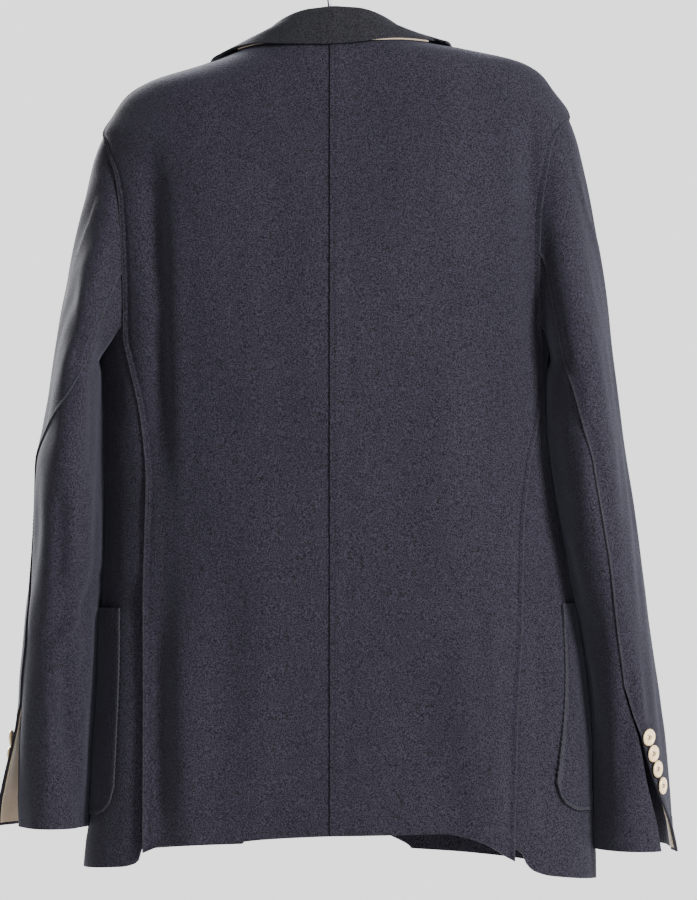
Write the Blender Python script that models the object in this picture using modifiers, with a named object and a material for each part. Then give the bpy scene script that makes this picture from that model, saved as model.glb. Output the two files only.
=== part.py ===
"""A single-breasted, unstructured blazer that hangs on a plain hanger, seen from behind along +Y.

The origin is the inner top of the hanger's hook. +X is the wearer's right, +Z is up and the back faces -Y.
Tables are in millimetres and degrees. A drop is a distance below the origin.
"""

import math

import bmesh
import bpy
import numpy as np
from mathutils import Vector

MM = 0.001
CLOTH = 2.0
CENTRE_GAP = 0.5
SEAM_GAP = 1.0
SLEEVE_SEAM_GAP = {-1: 1.4, 1: 0.9}
LAP = CLOTH + 0.4
LEFT = -1
RIGHT = 1

NAVY = (0.030, 0.030, 0.046, 1.0)
TAN = (0.52, 0.36, 0.22, 1.0)
CREAM = (0.80, 0.70, 0.50, 1.0)
HANGER_BLACK = (0.02, 0.02, 0.02, 1.0)
STEEL = (0.14, 0.14, 0.15, 1.0)

# Half widths of the body at each drop, from the shoulder line down to the hem.
SHOULDER_TIP = {LEFT: 194.0, RIGHT: 178.0}
NECK_DROP = {LEFT: 108.5, RIGHT: 104.5}
NECK_BACK_DROP = 100.0
# Columns: drop, half width.
WIDTHS = {
    LEFT: (
        (108, 72), (112, 80), (121, 99), (133, 132), (146, 172), (153, 185), (161, 194), (176, 204),
        (194, 213), (230, 213), (312, 212), (350, 213), (405, 214), (466, 214.4), (530, 213.8),
        (571, 213.6), (610, 213.8), (650, 214.8), (700, 216.5), (760, 220), (820, 224.5), (845, 228),
        (890, 232),
    ),
    RIGHT: (
        (104, 72), (108, 84), (111, 98), (114, 118), (121, 152), (127, 175), (138, 193), (151, 203),
        (178, 219), (230, 216), (312, 210), (350, 205), (405, 198.5), (450, 198), (487, 201), (548, 209.5),
        (594, 217), (625, 221.5), (641, 224), (698, 232.5), (745, 236.5), (800, 238.5), (850, 241.5),
        (890, 242.5),
    ),
}

# Half depths of the body and how square its section is at the sides. Flatness is that of its middle.
FLATNESS = 2.4
# Columns: drop, back depth, front depth, squareness.
BACK_DEPTH, FRONT_DEPTH, SQUARENESS = 1, 2, 3
DEPTHS = (
    (100, 38, 36, 2.0),
    (121, 46, 42, 1.75),
    (146, 54, 48, 1.85),
    (176, 62, 55, 2.05),
    (211, 70, 62, 2.25),
    (270, 79, 72, 2.5),
    (350, 86, 80, 2.6),
    (466, 84, 82, 2.6),
    (571, 80, 80, 2.5),
    (700, 84, 84, 2.5),
    (890, 92, 90, 2.5),
)

# The back panel's outer edge: the armhole, then the seam to the side panel.
# Columns: drop, place across.
BACK_EDGE = {
    LEFT: (
        (194, 213), (200, 211), (211, 208), (234, 201), (270, 197), (312, 195), (348, 194), (371, 194),
        (408, 187), (443, 179), (478, 174), (517, 171), (631, 174), (880, 174),
    ),
    RIGHT: (
        (178, 219), (185, 213), (201, 204), (229, 199), (275, 194), (330, 193), (371, 193),
        (437, 191), (466, 187), (492, 182), (525, 178), (559, 175), (660, 173), (710, 170), (880, 165),
    ),
}
SIDE_TOP = 371.0
SIDE_TOP_DIP = 16.0
SIDE_FRONT_ANGLE = 112.0
# Columns: fall from the shoulder tip, section angle.
FRONT_ARMHOLE = ((0, 90), (7, 97), (25, 106), (60, 117), (110, 122), (150, 119), (175, 114), (193, 112))

# The front's inner edge: the line where the lapel turns, the buttoned edge and the rounded corner.
# Columns: drop, place across.
FRONT_OVERLAP = 3.0
FRONT_EDGE = {
    LEFT: (
        (104, 74), (150, 63), (250, 38), (350, 12), (440, -13), (475, -19), (640, -19), (700, -15),
        (760, -4), (800, 14), (825, 33), (845, 56), (856, 84), (880, 96),
    ),
    RIGHT: (
        (104, 74), (150, 63), (250, 38), (350, 12), (440, -13), (475, -19), (640, -19), (700, -15),
        (760, -5), (800, 10), (825, 27), (845, 45), (860, 72), (880, 84),
    ),
}

# Hems, as drops at places across.
# Columns: place across, drop.
BACK_HEM = {
    LEFT: ((0, 844), (42, 847), (80, 851), (120, 852.5), (147, 854), (180, 862)),
    RIGHT: ((0, 844), (42, 843), (84, 842), (102, 845), (126, 851), (149, 861), (175, 872)),
}
SIDE_HEM = {
    LEFT: ((0.0, 848), (0.115, 852), (0.15, 869), (0.25, 873.5), (0.5, 875), (1.0, 871)),
    RIGHT: ((0.0, 852), (0.115, 858), (0.15, 872), (0.19, 878), (0.27, 882), (0.5, 885), (1.0, 886)),
}
FRONT_HEM = {LEFT: (872, 861, 858), RIGHT: (886, 870, 862)}
VENT_TOP = 632.0
VENT_UNDERLAP = 20.0
VENT_DEPTH = 4.2

# Folds that end lower than this run on to the hem.
HEM_START = 840.0

# Soft folds that hang in the back and the fronts: each is a line, with its half width and its depth inwards.
# Columns: top x, top drop, bottom x, bottom drop, half width, depth.
BACK_FOLDS = (
    (-171, 215, -161, 350, 16, 7.0),
    (-161, 350, -160, 520, 15, 6.0),
    (-158, 560, -158, 860, 16, 5.0),
    (-128, 620, -132, 860, 18, -4.0),
    (178, 190, 180, 420, 14, 6.0),
    (120, 640, 140, 870, 20, -5.0),
    (70, 300, 62, 640, 40, 2.5),
    (-70, 260, -62, 560, 42, 2.5),
)
FRONT_FOLDS = (
    (-150, 230, -140, 520, 22, 5.0),
    (150, 220, 142, 540, 24, 4.5),
    (-95, 600, -110, 860, 26, -4.0),
    (100, 620, 118, 860, 26, -4.5),
)

# Sleeves: the ring at each drop, and the angle of its back seam (0 faces -Y, 90 faces away from the body).
# Columns: drop, inner x, outer x, back y, front y, back seam's angle.
INNER, OUTER, BACK, FRONT, SEAM_ANGLE = 1, 2, 3, 4, 5
RINGS = {
    LEFT: (
        (404, 217.0, 259, -78, 84, -28),
        (436, 217.3, 264, -80, 84, 10),
        (466, 217.4, 268, -80, 84, 50),
        (500, 217.2, 275, -78, 82, 78),
        (554, 216.8, 278, -72, 80, 84),
        (610, 217.4, 282, -66, 78, 78),
        (634, 220.8, 285, -64, 77, 66),
        (668, 221.8, 288, -62, 76, 58),
        (706, 223.4, 292, -60, 74, 60),
        (770, 227.4, 294, -58, 70, 70),
        (850, 233.0, 292, -56, 66, 74),
    ),
    RIGHT: (
        (404, 202.0, 260, -78, 84, -38),
        (436, 201.5, 264, -80, 84, -16),
        (466, 202.5, 268, -80, 84, -6),
        (500, 206.0, 272, -78, 82, 2),
        (554, 213.6, 280, -72, 80, 3),
        (594, 221.0, 286, -67, 78, 3),
        (641, 231.0, 292, -64, 77, 0),
        (706, 240.3, 302, -61, 75, -3),
        (731, 242.5, 305, -60, 73, 4),
        (753, 243.8, 308, -59, 72, 12),
        (799, 245.4, 312, -58, 70, 23),
        (829, 246.0, 314, -57, 68, 33),
        (870, 246.5, 317, -56, 66, 44),
    ),
}
FRONT_SEAM_ANGLE = 200.0
RING_SQUARENESS = 2.1
CUFF_DROP = {LEFT: 836.0, RIGHT: 857.0}
CUFF_VENT = {LEFT: 722.0, RIGHT: 704.0}
CUFF_FLARE = {LEFT: 17.0, RIGHT: 11.0}
FLARE_POWER = {LEFT: 1.0, RIGHT: 2.0}
VENT_EDGE_SHARE = 0.78
VENT_START = 12.0
VENT_LIFT = 1.5
FACING_ROWS = 5
FACING_INSET = CLOTH / 2 + 0.9
FACING_SPREAD = 0.07
THIN_CLOTH = 1.0
SLEEVE_COLUMNS = 24
HIND_COLUMN = 7
FORE_COLUMN = 18
CAP_ROWS = 6
SLEEVE_ROWS = 17
CAP_BULGE = {LEFT: 4.0, RIGHT: 4.5}
SLEEVE_FOLDS = {
    LEFT: (
        (-226, 590, -262, 668, 10, 7.0),
        (-250, 520, -252, 640, 9, 5.0),
        (-246, 668, -250, 780, 9, 5.0),
        (-234, 370, -244, 470, 8, 4.0),
    ),
    RIGHT: (
        (238, 470, 262, 600, 9, 4.0),
        (276, 660, 270, 800, 9, 3.5),
        (226, 400, 224, 520, 8, 3.0),
    ),
}

# Patch pockets, from their rear edge on the side panel to their front edge on the front.
POCKET_TOP = {LEFT: 634.0, RIGHT: 630.0}
POCKET_HEIGHT = 192.0
# The section angle of the rear edge at the top and at the bottom, and of the front edge.
POCKET_ANGLES = {LEFT: (63.8, 62.5, 139.0), RIGHT: (69.5, 57.0, 141.0)}
POCKET_ROOM = 0.5
POCKET_CORNER = 0.16

# The collar's sizes, and its stations from the centre back to its front end.
COLLAR_ROUND = 2.4
COLLAR_LIFT = 2.6
COLLAR_STEPS = 14
UNDERCOLLAR_STEPS = 6
UNDERCOLLAR_INSET = CLOTH / 2 + 1.1
UNDERCOLLAR_SHOWS = 1.4
# Columns: neckline x, y, drop; top fold x, y, drop; lower edge x, side of the ridge, drop.
COLLAR = {
    LEFT: (
        (0, -37.8, 98.4, 0, -36, 76, 0, -1, 112),
        (25, -35, 101.8, 25, -34, 79, 30, -1, 112.3),
        (46, -24, 105, 44, -27, 86, 60, -1, 112.5),
        (60, -14, 109, 56, -18, 94, 87, -1, 116.5),
        (63, 1, 114, 63, -2, 99, 103, 1, 123),
        (64, 16, 121, 65, 18, 108, 113, 1, 131),
        (63, 30, 138, 63, 36, 126, 112, 1, 154),
        (60, 42, 168, 57, 50, 160, 103, 1, 181),
    ),
    RIGHT: (
        (0, -37.8, 98.4, 0, -36, 76, 0, -1, 112),
        (25, -35, 100.2, 25, -34, 77.5, 30, -1, 110),
        (46, -24, 102.5, 45, -27, 84, 58, -1, 108),
        (61, -14, 106, 58, -18, 91.5, 88, -1, 109.5),
        (65, 1, 110, 66, -2, 96, 106, 1, 112.2),
        (66, 16, 117, 68, 18, 104, 112, 1, 121),
        (65, 30, 134, 65, 36, 122, 114, 1, 149),
        (60, 42, 166, 57, 50, 158, 103, 1, 178),
    ),
}

# Columns: drop, width, rise of its outer edge.
LAPEL_WIDTH, LAPEL_RISE = 1, 2
LAPEL = {
    LEFT: (
        (170, 44, -14), (200, 66, 4), (240, 66, 8), (300, 58, 8), (360, 45, 8), (420, 26, 5), (462, 9, 2),
    ),
    RIGHT: ((168, 44, -14), (198, 66, 4), (240, 66, 8), (300, 58, 8), (345, 50, 8), (382, 38, 6)),
}

BUTTON_DIAMETER = 15.0
BUTTON_THICKNESS = 3.0
FRONT_BUTTON_DIAMETER = 20.0
FRONT_BUTTON_THICKNESS = 4.0
THREAD = 0.3
CUFF_THREAD = {RIGHT: 1.6, LEFT: 1.9}
BUTTON_REACH = {RIGHT: 0.6, LEFT: 0.9}
BUTTON_COLUMN = {RIGHT: -1, LEFT: -2}
BUTTON_TURN = {RIGHT: 0.45, LEFT: 0.0}
FRONT_BUTTON_DROPS = (480.0, 590.0)
CUFF_BUTTON_DROPS = {RIGHT: (753.5, 768.7, 783.2, 798.8), LEFT: (757.0, 772.5, 788.0, 803.5)}

HANGER_RADIUS = 6.5
HANGER_REACH = {LEFT: 158.0, RIGHT: 172.0}
HOOK_WIRE = 3.4
HOOK_RADIUS = 21.0
HOOK_STEM_X = -3.5


def column(table, at, number=1):
    """Reads a table's column at a value of its first one, with a smooth curve that never overshoots."""
    rows = np.array(table, float)
    places, values = rows[:, 0], rows[:, number]
    at = min(max(at, places[0]), places[-1])
    steps = np.diff(places)
    slopes = np.diff(values) / steps
    tangents = np.zeros(len(places))
    tangents[0], tangents[-1] = slopes[0], slopes[-1]
    for i in range(1, len(places) - 1):
        if slopes[i - 1] * slopes[i] > 0:
            tangents[i] = 2 * slopes[i - 1] * slopes[i] / (slopes[i - 1] + slopes[i])
    i = min(int(np.searchsorted(places, at, side="right")) - 1, len(steps) - 1)
    t = (at - places[i]) / steps[i]
    start = (1 + 2 * t) * (1 - t) ** 2 * values[i] + t * (1 - t) ** 2 * steps[i] * tangents[i]
    end = t * t * (3 - 2 * t) * values[i + 1] + t * t * (t - 1) * steps[i] * tangents[i + 1]
    return start + end


def ease(t):
    t = min(max(t, 0.0), 1.0)
    return t * t * (3 - 2 * t)


def mix(a, b, t):
    return a + (b - a) * t


def fold_depth(folds, x, drop):
    """How far the folds press the cloth in at this place."""
    total = 0.0
    for x_top, drop_top, x_bottom, drop_bottom, half_width, depth in folds:
        along = (drop - drop_top) / (drop_bottom - drop_top)
        end = ease((along + 0.15) / 0.4) * ease((1.15 - along) / 0.4)
        if drop_bottom > HEM_START:
            end = ease((along + 0.15) / 0.4)
        away = (x - mix(x_top, x_bottom, along)) / half_width
        total += depth * end * math.exp(-away * away)
    return total


def body_bare(side, angle, drop):
    """A point of the body's section: angle 0 is the centre back, 90 the side, 180 the centre front."""
    half = column(WIDTHS[side if angle <= 180 else -side], drop)
    square = column(DEPTHS, drop, SQUARENESS)
    turn = math.radians(angle)
    sine, cosine = math.sin(turn), math.cos(turn)
    depth = column(DEPTHS, drop, BACK_DEPTH if cosine > 0 else FRONT_DEPTH)
    x = side * half * math.copysign(abs(sine) ** (2 / FLATNESS), sine)
    y = -depth * math.copysign(abs(cosine) ** (2 / square), cosine)
    folds = BACK_FOLDS if cosine > 0 else FRONT_FOLDS
    y -= math.copysign(1.0, y) * fold_depth(folds, x, drop) * min(1.0, abs(cosine) * 2.2)
    return Vector((x, y, -drop))


def body(side, angle, drop, out=0.0):
    """A point of the body's surface, moved out along the surface's own direction."""
    place = body_bare(side, angle, drop)
    if out:
        across = body_bare(side, angle + 1.0, drop) - body_bare(side, angle - 1.0, drop)
        down = body_bare(side, angle, drop + 3.0) - body_bare(side, angle, drop - 3.0)
        outward = across.cross(down).normalized()
        if outward.dot(Vector((place.x, place.y, 0.0))) < 0:
            outward = -outward
        place = place + outward * out
    return place


def angle_at(side, across, drop, front=False):
    """The section angle of a place this far across from the centre line, on the back or the front."""
    other = front and across < 0
    half = column(WIDTHS[-side if other else side], drop)
    angle = math.degrees(math.asin(min(abs(across) / half, 1.0) ** (FLATNESS / 2)))
    if not front:
        return angle
    return 180 + angle if other else 180 - angle


def back_edge_angle(side, drop):
    if drop <= SHOULDER_TIP[side]:
        return 90.0
    return angle_at(side, column(BACK_EDGE[side], drop), drop)


def front_outer_angle(side, drop):
    fall = drop - SHOULDER_TIP[side]
    if fall <= 0:
        return 90.0
    stretch = (SIDE_TOP - SHOULDER_TIP[side]) / FRONT_ARMHOLE[-1][0]
    return column([(row[0] * stretch, row[1]) for row in FRONT_ARMHOLE], fall)


def front_inner_angle(side, drop):
    return angle_at(side, column(FRONT_EDGE[side], drop), drop, front=True)


def trimmed(side, angle, drop, gap):
    """The angle moved by a gap in millimetres along the section."""
    step = (body_bare(side, angle + 0.5, drop) - body_bare(side, angle - 0.5, drop)).length
    return angle + gap / step


def spaced(count, power=1.0):
    return [(i / count) ** power for i in range(count + 1)]


def new_material(name, colour, roughness, metallic=0.0):
    material = bpy.data.materials.new(name)
    material.use_nodes = True
    shader = material.node_tree.nodes["Principled BSDF"]
    shader.inputs["Base Color"].default_value = colour
    shader.inputs["Roughness"].default_value = roughness
    shader.inputs["Metallic"].default_value = metallic
    return material


def add_object(name, mesh, material, collection):
    obj = bpy.data.objects.new(name, mesh)
    collection.objects.link(obj)
    mesh.materials.append(material)
    return obj


def cloth(name, rows, material, collection, thickness=CLOTH, even=True):
    """A wall of cloth through rows of points: an open surface, thickened evenly to both sides."""
    width = len(rows[0])
    points = [point * MM for row in rows for point in row]
    faces = []
    for r in range(len(rows) - 1):
        for c in range(width - 1):
            a = r * width + c
            faces.append((a, a + 1, a + 1 + width, a + width))
    mesh = bpy.data.meshes.new(name)
    mesh.from_pydata(points, [], faces)
    mesh.shade_smooth()
    obj = add_object(name, mesh, material, collection)
    wall = obj.modifiers.new("cloth thickness", "SOLIDIFY")
    wall.thickness = thickness * MM
    wall.offset = 0.0
    wall.use_even_offset = even
    return obj


def back_panel(side):
    rows = []
    hem = BACK_HEM[side]
    for t in spaced(23, 1.6):
        row = []
        for s in spaced(13):
            top = mix(NECK_BACK_DROP, NECK_DROP[side], s ** 0.6)
            across = BACK_EDGE[side][-1][1] * s
            bottom = column(hem, across)
            drop = mix(top, bottom, t)
            inner = angle_at(side, CENTRE_GAP / 2, drop)
            outer = back_edge_angle(side, drop)
            if outer > 89.9:
                outer = 90.0 - 0.2
            outer = trimmed(side, outer, drop, -SEAM_GAP / 2)
            row.append(body(side, mix(inner, outer, s ** 0.9), drop))
        rows.append(row)
    return rows


def side_panel(side):
    """From the back seam to the front seam, with its rear edge carried on under the back at the vent."""
    rows = []
    for t in spaced(20):
        row = []
        for s in spaced(9):
            top = SIDE_TOP + SIDE_TOP_DIP * math.sin(math.pi * s) + 0.3
            bottom = column(SIDE_HEM[side], s)
            drop = mix(top, bottom, t)
            vent = ease((drop - VENT_TOP) / 14.0)
            inner = trimmed(side, back_edge_angle(side, drop), drop, SEAM_GAP / 2 - VENT_UNDERLAP * vent)
            outer = trimmed(side, SIDE_FRONT_ANGLE, drop, -SEAM_GAP / 2)
            sunk = VENT_DEPTH * ease((drop - VENT_TOP + 40.0) / 40.0) * ease((0.42 - s) / 0.3)
            row.append(body(side, mix(inner, outer, s), drop, -sunk))
        rows.append(row)
    return rows


def front_out(side, angle, drop):
    """The left front lies over the right one where they cross."""
    if side == RIGHT:
        return 0.0
    return FRONT_OVERLAP * ease((drop - 330.0) / 70.0) * ease((angle - 158.0) / 10.0)


def front_panel(side):
    rows = []
    outer_hem, middle_hem, inner_hem = FRONT_HEM[side]
    for t in spaced(22, 1.35):
        t = mix(t, 1 - (1 - t) ** 1.6, t)
        row = []
        for s in spaced(12):
            bottom = column(((0.0, outer_hem), (0.5, middle_hem), (1.0, inner_hem)), s)
            drop = mix(NECK_DROP[side] + mix(0.5, 12.0, s), bottom, t)
            outer = front_outer_angle(side, drop)
            outer = trimmed(side, outer + (0.2 if outer < 90.1 else 0.0), drop, SEAM_GAP / 2)
            inner = front_inner_angle(side, drop)
            angle = mix(outer, inner, s)
            row.append(body(side, angle, drop, front_out(side, angle, drop)))
        rows.append(row)
    return rows


def lapel(side):
    """The facing that the turned lapel shows, laid on the front from its own points moved out."""
    rows = []
    table = LAPEL[side]
    first, last = table[0][0], table[-1][0]
    for t in spaced(10):
        station = mix(first, last, t)
        width = column(table, station, LAPEL_WIDTH)
        rise = column(table, station, LAPEL_RISE)
        row = []
        for s in spaced(5):
            drop = station - rise * s
            across = column(FRONT_EDGE[side], station) + 1.0 + width * s
            angle = angle_at(side, across, drop, front=True)
            roll = 2.6 * math.sin(math.pi * min(s + 0.12, 1.0))
            out = LAP + 0.3 + roll + front_out(side, angle, drop)
            row.append(body(side, angle, drop, out))
        rows.append(row)
    return rows


def collar_station(side, u):
    """The neckline, top fold and lower edge at a place from the centre back, 0, to the front end, 1."""
    table = [(i / (len(COLLAR[side]) - 1),) + row for i, row in enumerate(COLLAR[side])]
    neck_x, neck_y, neck_drop, fold_x, fold_y, fold_drop, edge_x, edge_side, edge_drop = (
        column(table, u, number) for number in range(1, 10)
    )
    neck = Vector((side * neck_x, neck_y, -neck_drop))
    fold = Vector((side * fold_x, fold_y, -fold_drop))
    half = column(WIDTHS[side], edge_drop)
    angle = angle_at(side, min(edge_x, half), edge_drop, front=edge_side > -0.5)
    return neck, fold, body(side, angle, edge_drop, LAP + COLLAR_LIFT)


def section_depth(side, x, drop, front):
    """How deep the body is at a place across, or less than nothing outside its width."""
    half = column(WIDTHS[side], drop)
    if x >= half:
        return -1.0
    depth = column(DEPTHS, drop, FRONT_DEPTH if front else BACK_DEPTH)
    return depth * (1 - (x / half) ** FLATNESS) ** (1 / column(DEPTHS, drop, SQUARENESS))


def clear_of_body(side, point, lift):
    """The point moved square out of the body where it would come closer to its surface than the lift."""
    front = point.y > 0
    x, y = abs(point.x), max(abs(point.y), 2.0)
    high, low = NECK_DROP[side], -point.z + 40.0
    if section_depth(side, x, high, front) >= y:
        return point
    for _ in range(24):
        middle = (high + low) / 2
        if section_depth(side, x, middle, front) < y:
            high = middle
        else:
            low = middle
    deep = section_depth(side, x, low + 1.0, front)
    drop_slope = deep - section_depth(side, x, low, front)
    x_slope = deep - section_depth(side, max(x - 1.0, 0.0), low + 1.0, front)
    outward = Vector((-x_slope, 1.0, drop_slope)).normalized()
    short = lift - (low + point.z) * outward.z
    if short <= 0:
        return point
    shift = outward * short
    return point + Vector((side * shift.x, shift.y if front else -shift.y, shift.z))


def collar_row(side, u):
    """The stand from the neckline up, the top fold, and the fall down to its lower edge on the back."""
    neck, fold, edge = collar_station(side, u)
    outward = Vector((edge.x - neck.x, edge.y - neck.y, 0.0))
    if outward.length < 1e-6:
        outward = Vector((0.0, -1.0, 0.0))
    outward.normalize()
    inside = neck.lerp(fold, 0.5) + outward * 0.5
    drop = Vector((0.0, 0.0, 1.0)) * COLLAR_ROUND
    top_in = fold - outward * COLLAR_ROUND - drop
    top_out = fold + outward * COLLAR_ROUND - drop
    bulge = Vector((outward.x, outward.y, 0.4)) * 2.0
    falls = [top_out.lerp(edge, share) + bulge * (1 - share) for share in (0.35, 0.7)]
    line = [neck, inside, top_in, fold, top_out] + falls + [edge]
    return line[:4] + [clear_of_body(side, point, LAP + COLLAR_LIFT) for point in line[4:]]


def collar_rows():
    stations = [(LEFT, i / COLLAR_STEPS) for i in range(COLLAR_STEPS, 0, -1)]
    stations += [(RIGHT, i / COLLAR_STEPS) for i in range(COLLAR_STEPS + 1)]
    return [collar_row(side, u) for side, u in stations]


def moved_in(rows, distance):
    """The rows moved towards the part's middle, square to their own surface."""
    result = []
    for r, row in enumerate(rows):
        line = []
        for c, point in enumerate(row):
            along = rows[min(r + 1, len(rows) - 1)][c] - rows[max(r - 1, 0)][c]
            across = row[min(c + 1, len(row) - 1)] - row[max(c - 1, 0)]
            outward = along.cross(across).normalized()
            line.append(point - outward * distance)
        result.append(line)
    return result


def undercollar_rows():
    """The tan cloth behind the fall, which reaches a little lower than its edge."""
    first = COLLAR_STEPS - UNDERCOLLAR_STEPS
    falls = [row[-2:] for row in collar_rows()]
    inner = moved_in([[middle, middle.lerp(edge, 0.5), edge] for middle, edge in falls], -UNDERCOLLAR_INSET)
    rows = inner[first:len(inner) - first]
    return [row[:2] + [row[2] + (row[2] - row[1]).normalized() * UNDERCOLLAR_SHOWS] for row in rows]


def armhole_loop(side):
    """The armhole from the shoulder tip down the back, under the arm and up the front, evenly spaced."""
    tip = SHOULDER_TIP[side]
    points = []
    for t in spaced(40):
        drop = mix(tip, SIDE_TOP, t)
        points.append(body(side, back_edge_angle(side, drop), drop))
    for s in spaced(16)[1:]:
        drop = SIDE_TOP + SIDE_TOP_DIP * math.sin(math.pi * s)
        angle = mix(back_edge_angle(side, SIDE_TOP), SIDE_FRONT_ANGLE, s)
        points.append(body(side, angle, drop))
    for t in spaced(40)[1:]:
        drop = mix(SIDE_TOP, tip, t)
        points.append(body(side, front_outer_angle(side, drop), drop))
    lengths = [0.0]
    for a, b in zip(points, points[1:]):
        lengths.append(lengths[-1] + (b - a).length)
    places = np.array([tuple(point) for point in points])
    loop = []
    for k in range(SLEEVE_COLUMNS + 1):
        at = lengths[-1] * k / SLEEVE_COLUMNS
        loop.append(Vector([float(np.interp(at, lengths, places[:, axis])) for axis in range(3)]))
    return loop


def ring_point(side, drop, angle):
    """A point of the sleeve's ring at this drop, with the sleeve's folds."""
    inner, outer, back, front = (column(RINGS[side], drop, number) for number in (INNER, OUTER, BACK, FRONT))
    turn = math.radians(angle)
    sine, cosine = math.sin(turn), math.cos(turn)
    power = 2 / RING_SQUARENESS
    x = (inner + outer) / 2 + (outer - inner) / 2 * math.copysign(abs(sine) ** power, sine)
    y = (back + front) / 2 - (front - back) / 2 * math.copysign(abs(cosine) ** power, cosine)
    if cosine > 0:
        y += fold_depth(SLEEVE_FOLDS[side], side * x, drop) * min(1.0, cosine * 2.0)
    return Vector((side * x, y, -drop))


def column_angle(side, drop, k):
    """The ring angle of a lengthwise column: the back seam and the front seam each stay on one column."""
    seam = column(RINGS[side], drop, SEAM_ANGLE)
    if k <= HIND_COLUMN:
        k += SLEEVE_COLUMNS
    if k >= FORE_COLUMN and k > HIND_COLUMN:
        share = (HIND_COLUMN + SLEEVE_COLUMNS - k) / (HIND_COLUMN + SLEEVE_COLUMNS - FORE_COLUMN)
        return mix(seam, FRONT_SEAM_ANGLE, share)
    share = (k - HIND_COLUMN) / (FORE_COLUMN - HIND_COLUMN)
    return mix(seam, FRONT_SEAM_ANGLE - 360, share)


def cuff_drop(side, angle):
    return CUFF_DROP[side] + 3.0 * math.cos(math.radians(angle))


def sleeve_point(side, loop, k, row, rows):
    """A point on column k: rows 0 to CAP_ROWS leave the armhole, and the others go down to the cuff."""
    first = RINGS[side][0][0]
    if row >= CAP_ROWS:
        t = (row - CAP_ROWS) / (rows - CAP_ROWS)
        drop = mix(first, cuff_drop(side, column_angle(side, 800.0, k)), t)
        return ring_point(side, drop, column_angle(side, drop, k))
    t = row / CAP_ROWS
    start = loop[int(round(k)) % SLEEVE_COLUMNS if k % SLEEVE_COLUMNS else 0].copy()
    low = ease((-start.z - 300.0) / 90.0)
    start.x += side * mix(2.3, 4.8, low)
    end = ring_point(side, first, column_angle(side, first, k))
    place = start.lerp(end, t)
    place.y = mix(start.y, end.y, math.sin(t * math.pi / 2))
    high = ease((380.0 + start.z) / 180.0)
    place.x += side * CAP_BULGE[side] * 4 * t * (1 - t) * high
    return place


def seam_point(side, loop, k, row, rows, columns):
    """A sleeve point, moved in by half the seam's gap on the first and the last of the piece's columns."""
    point = sleeve_point(side, loop, k, row, rows)
    step = {columns[0]: 1, columns[-1]: -1}.get(k, 0)
    if step:
        other = sleeve_point(side, loop, k + step, row, rows)
        point = point + (other - point).normalized() * (SLEEVE_SEAM_GAP[side] / 2)
    return point


def flare_share(side, drop):
    """How much of the cuff's flare the vent's edge has at this drop."""
    return ease((drop - CUFF_VENT[side]) / (CUFF_DROP[side] - CUFF_VENT[side])) ** FLARE_POWER[side]


def vent_flare(side, point, share):
    """Turns the vent's edge away from the sleeve, more towards the cuff."""
    down = flare_share(side, -point.z)
    edge = ease((share - VENT_EDGE_SHARE) / (1 - VENT_EDGE_SHARE))
    start = ease((-point.z - CUFF_VENT[side]) / VENT_START)
    point.x += side * edge * (CUFF_FLARE[side] * down + VENT_LIFT * start)
    return point


def upper_sleeve(side):
    """The outer part, from the front seam over the top to the back seam, with the vent's edge at the end."""
    loop = armhole_loop(side)
    rows = CAP_ROWS + SLEEVE_ROWS
    columns = list(range(FORE_COLUMN, SLEEVE_COLUMNS + HIND_COLUMN + 1))
    result = []
    for row in range(rows + 1):
        line = []
        for k in columns:
            share = (k - columns[0]) / (columns[-1] - columns[0])
            point = seam_point(side, loop, k, row, rows, columns)
            line.append(vent_flare(side, point, share))
        result.append(line)
    return result


def under_sleeve(side):
    """The inner part, from the back seam round beside the body to the front seam."""
    loop = armhole_loop(side)
    rows = CAP_ROWS + SLEEVE_ROWS
    columns = list(range(HIND_COLUMN, FORE_COLUMN + 1))
    result = []
    for row in range(rows + 1):
        line = []
        for k in columns:
            line.append(seam_point(side, loop, k, row, rows, columns))
        result.append(line)
    return result


def cuff_facing(side, rows):
    """The tan strip behind the vent's edge, made from the upper sleeve's points moved in."""
    strip = []
    for row in rows[-FACING_ROWS:]:
        line = []
        tangent = row[-1] - row[-2]
        for share in (0.0, 0.5, 1.0):
            point = row[-2].lerp(row[-1], share)
            inward = Vector((tangent.y, -tangent.x, 0.0)).normalized() * side
            spread = FACING_SPREAD * CUFF_FLARE[side] * flare_share(side, -point.z)
            line.append(point + inward * (FACING_INSET + spread))
        strip.append(line)
    return strip


def pocket(side):
    """A patch on the side panel and the front, with round lower corners."""
    rear_top, rear_low, end = POCKET_ANGLES[side]
    top = POCKET_TOP[side]
    rows = []
    for t in spaced(8):
        row = []
        for s in spaced(9):
            corner = max(0.0, 1 - min(s, 1 - s) / POCKET_CORNER)
            round_up = 26.0 * (1 - math.sqrt(max(0.0, 1 - corner ** 2)))
            drop = mix(top, top + POCKET_HEIGHT - round_up, t)
            out = LAP + 0.4 + POCKET_ROOM * math.sin(math.pi * s) * (1 - t)
            row.append(body(side, mix(mix(rear_top, rear_low, t), end, s), drop, out))
        rows.append(row)
    return rows


def disc(name, centre, facing, diameter, thickness, material, collection):
    """A round button whose flat back is at the centre given and whose face looks along facing."""
    mesh = bpy.data.meshes.new(name)
    shape = bmesh.new()
    bmesh.ops.create_cone(
        shape,
        cap_ends=True,
        segments=16,
        radius1=diameter / 2 * MM,
        radius2=diameter * 0.46 * MM,
        depth=thickness * MM,
    )
    shape.to_mesh(mesh)
    shape.free()
    obj = add_object(name, mesh, material, collection)
    facing = facing.normalized()
    obj.rotation_mode = "QUATERNION"
    obj.rotation_quaternion = facing.to_track_quat("Z", "Y")
    obj.location = (centre + facing * (thickness / 2)) * MM
    return obj


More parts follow.
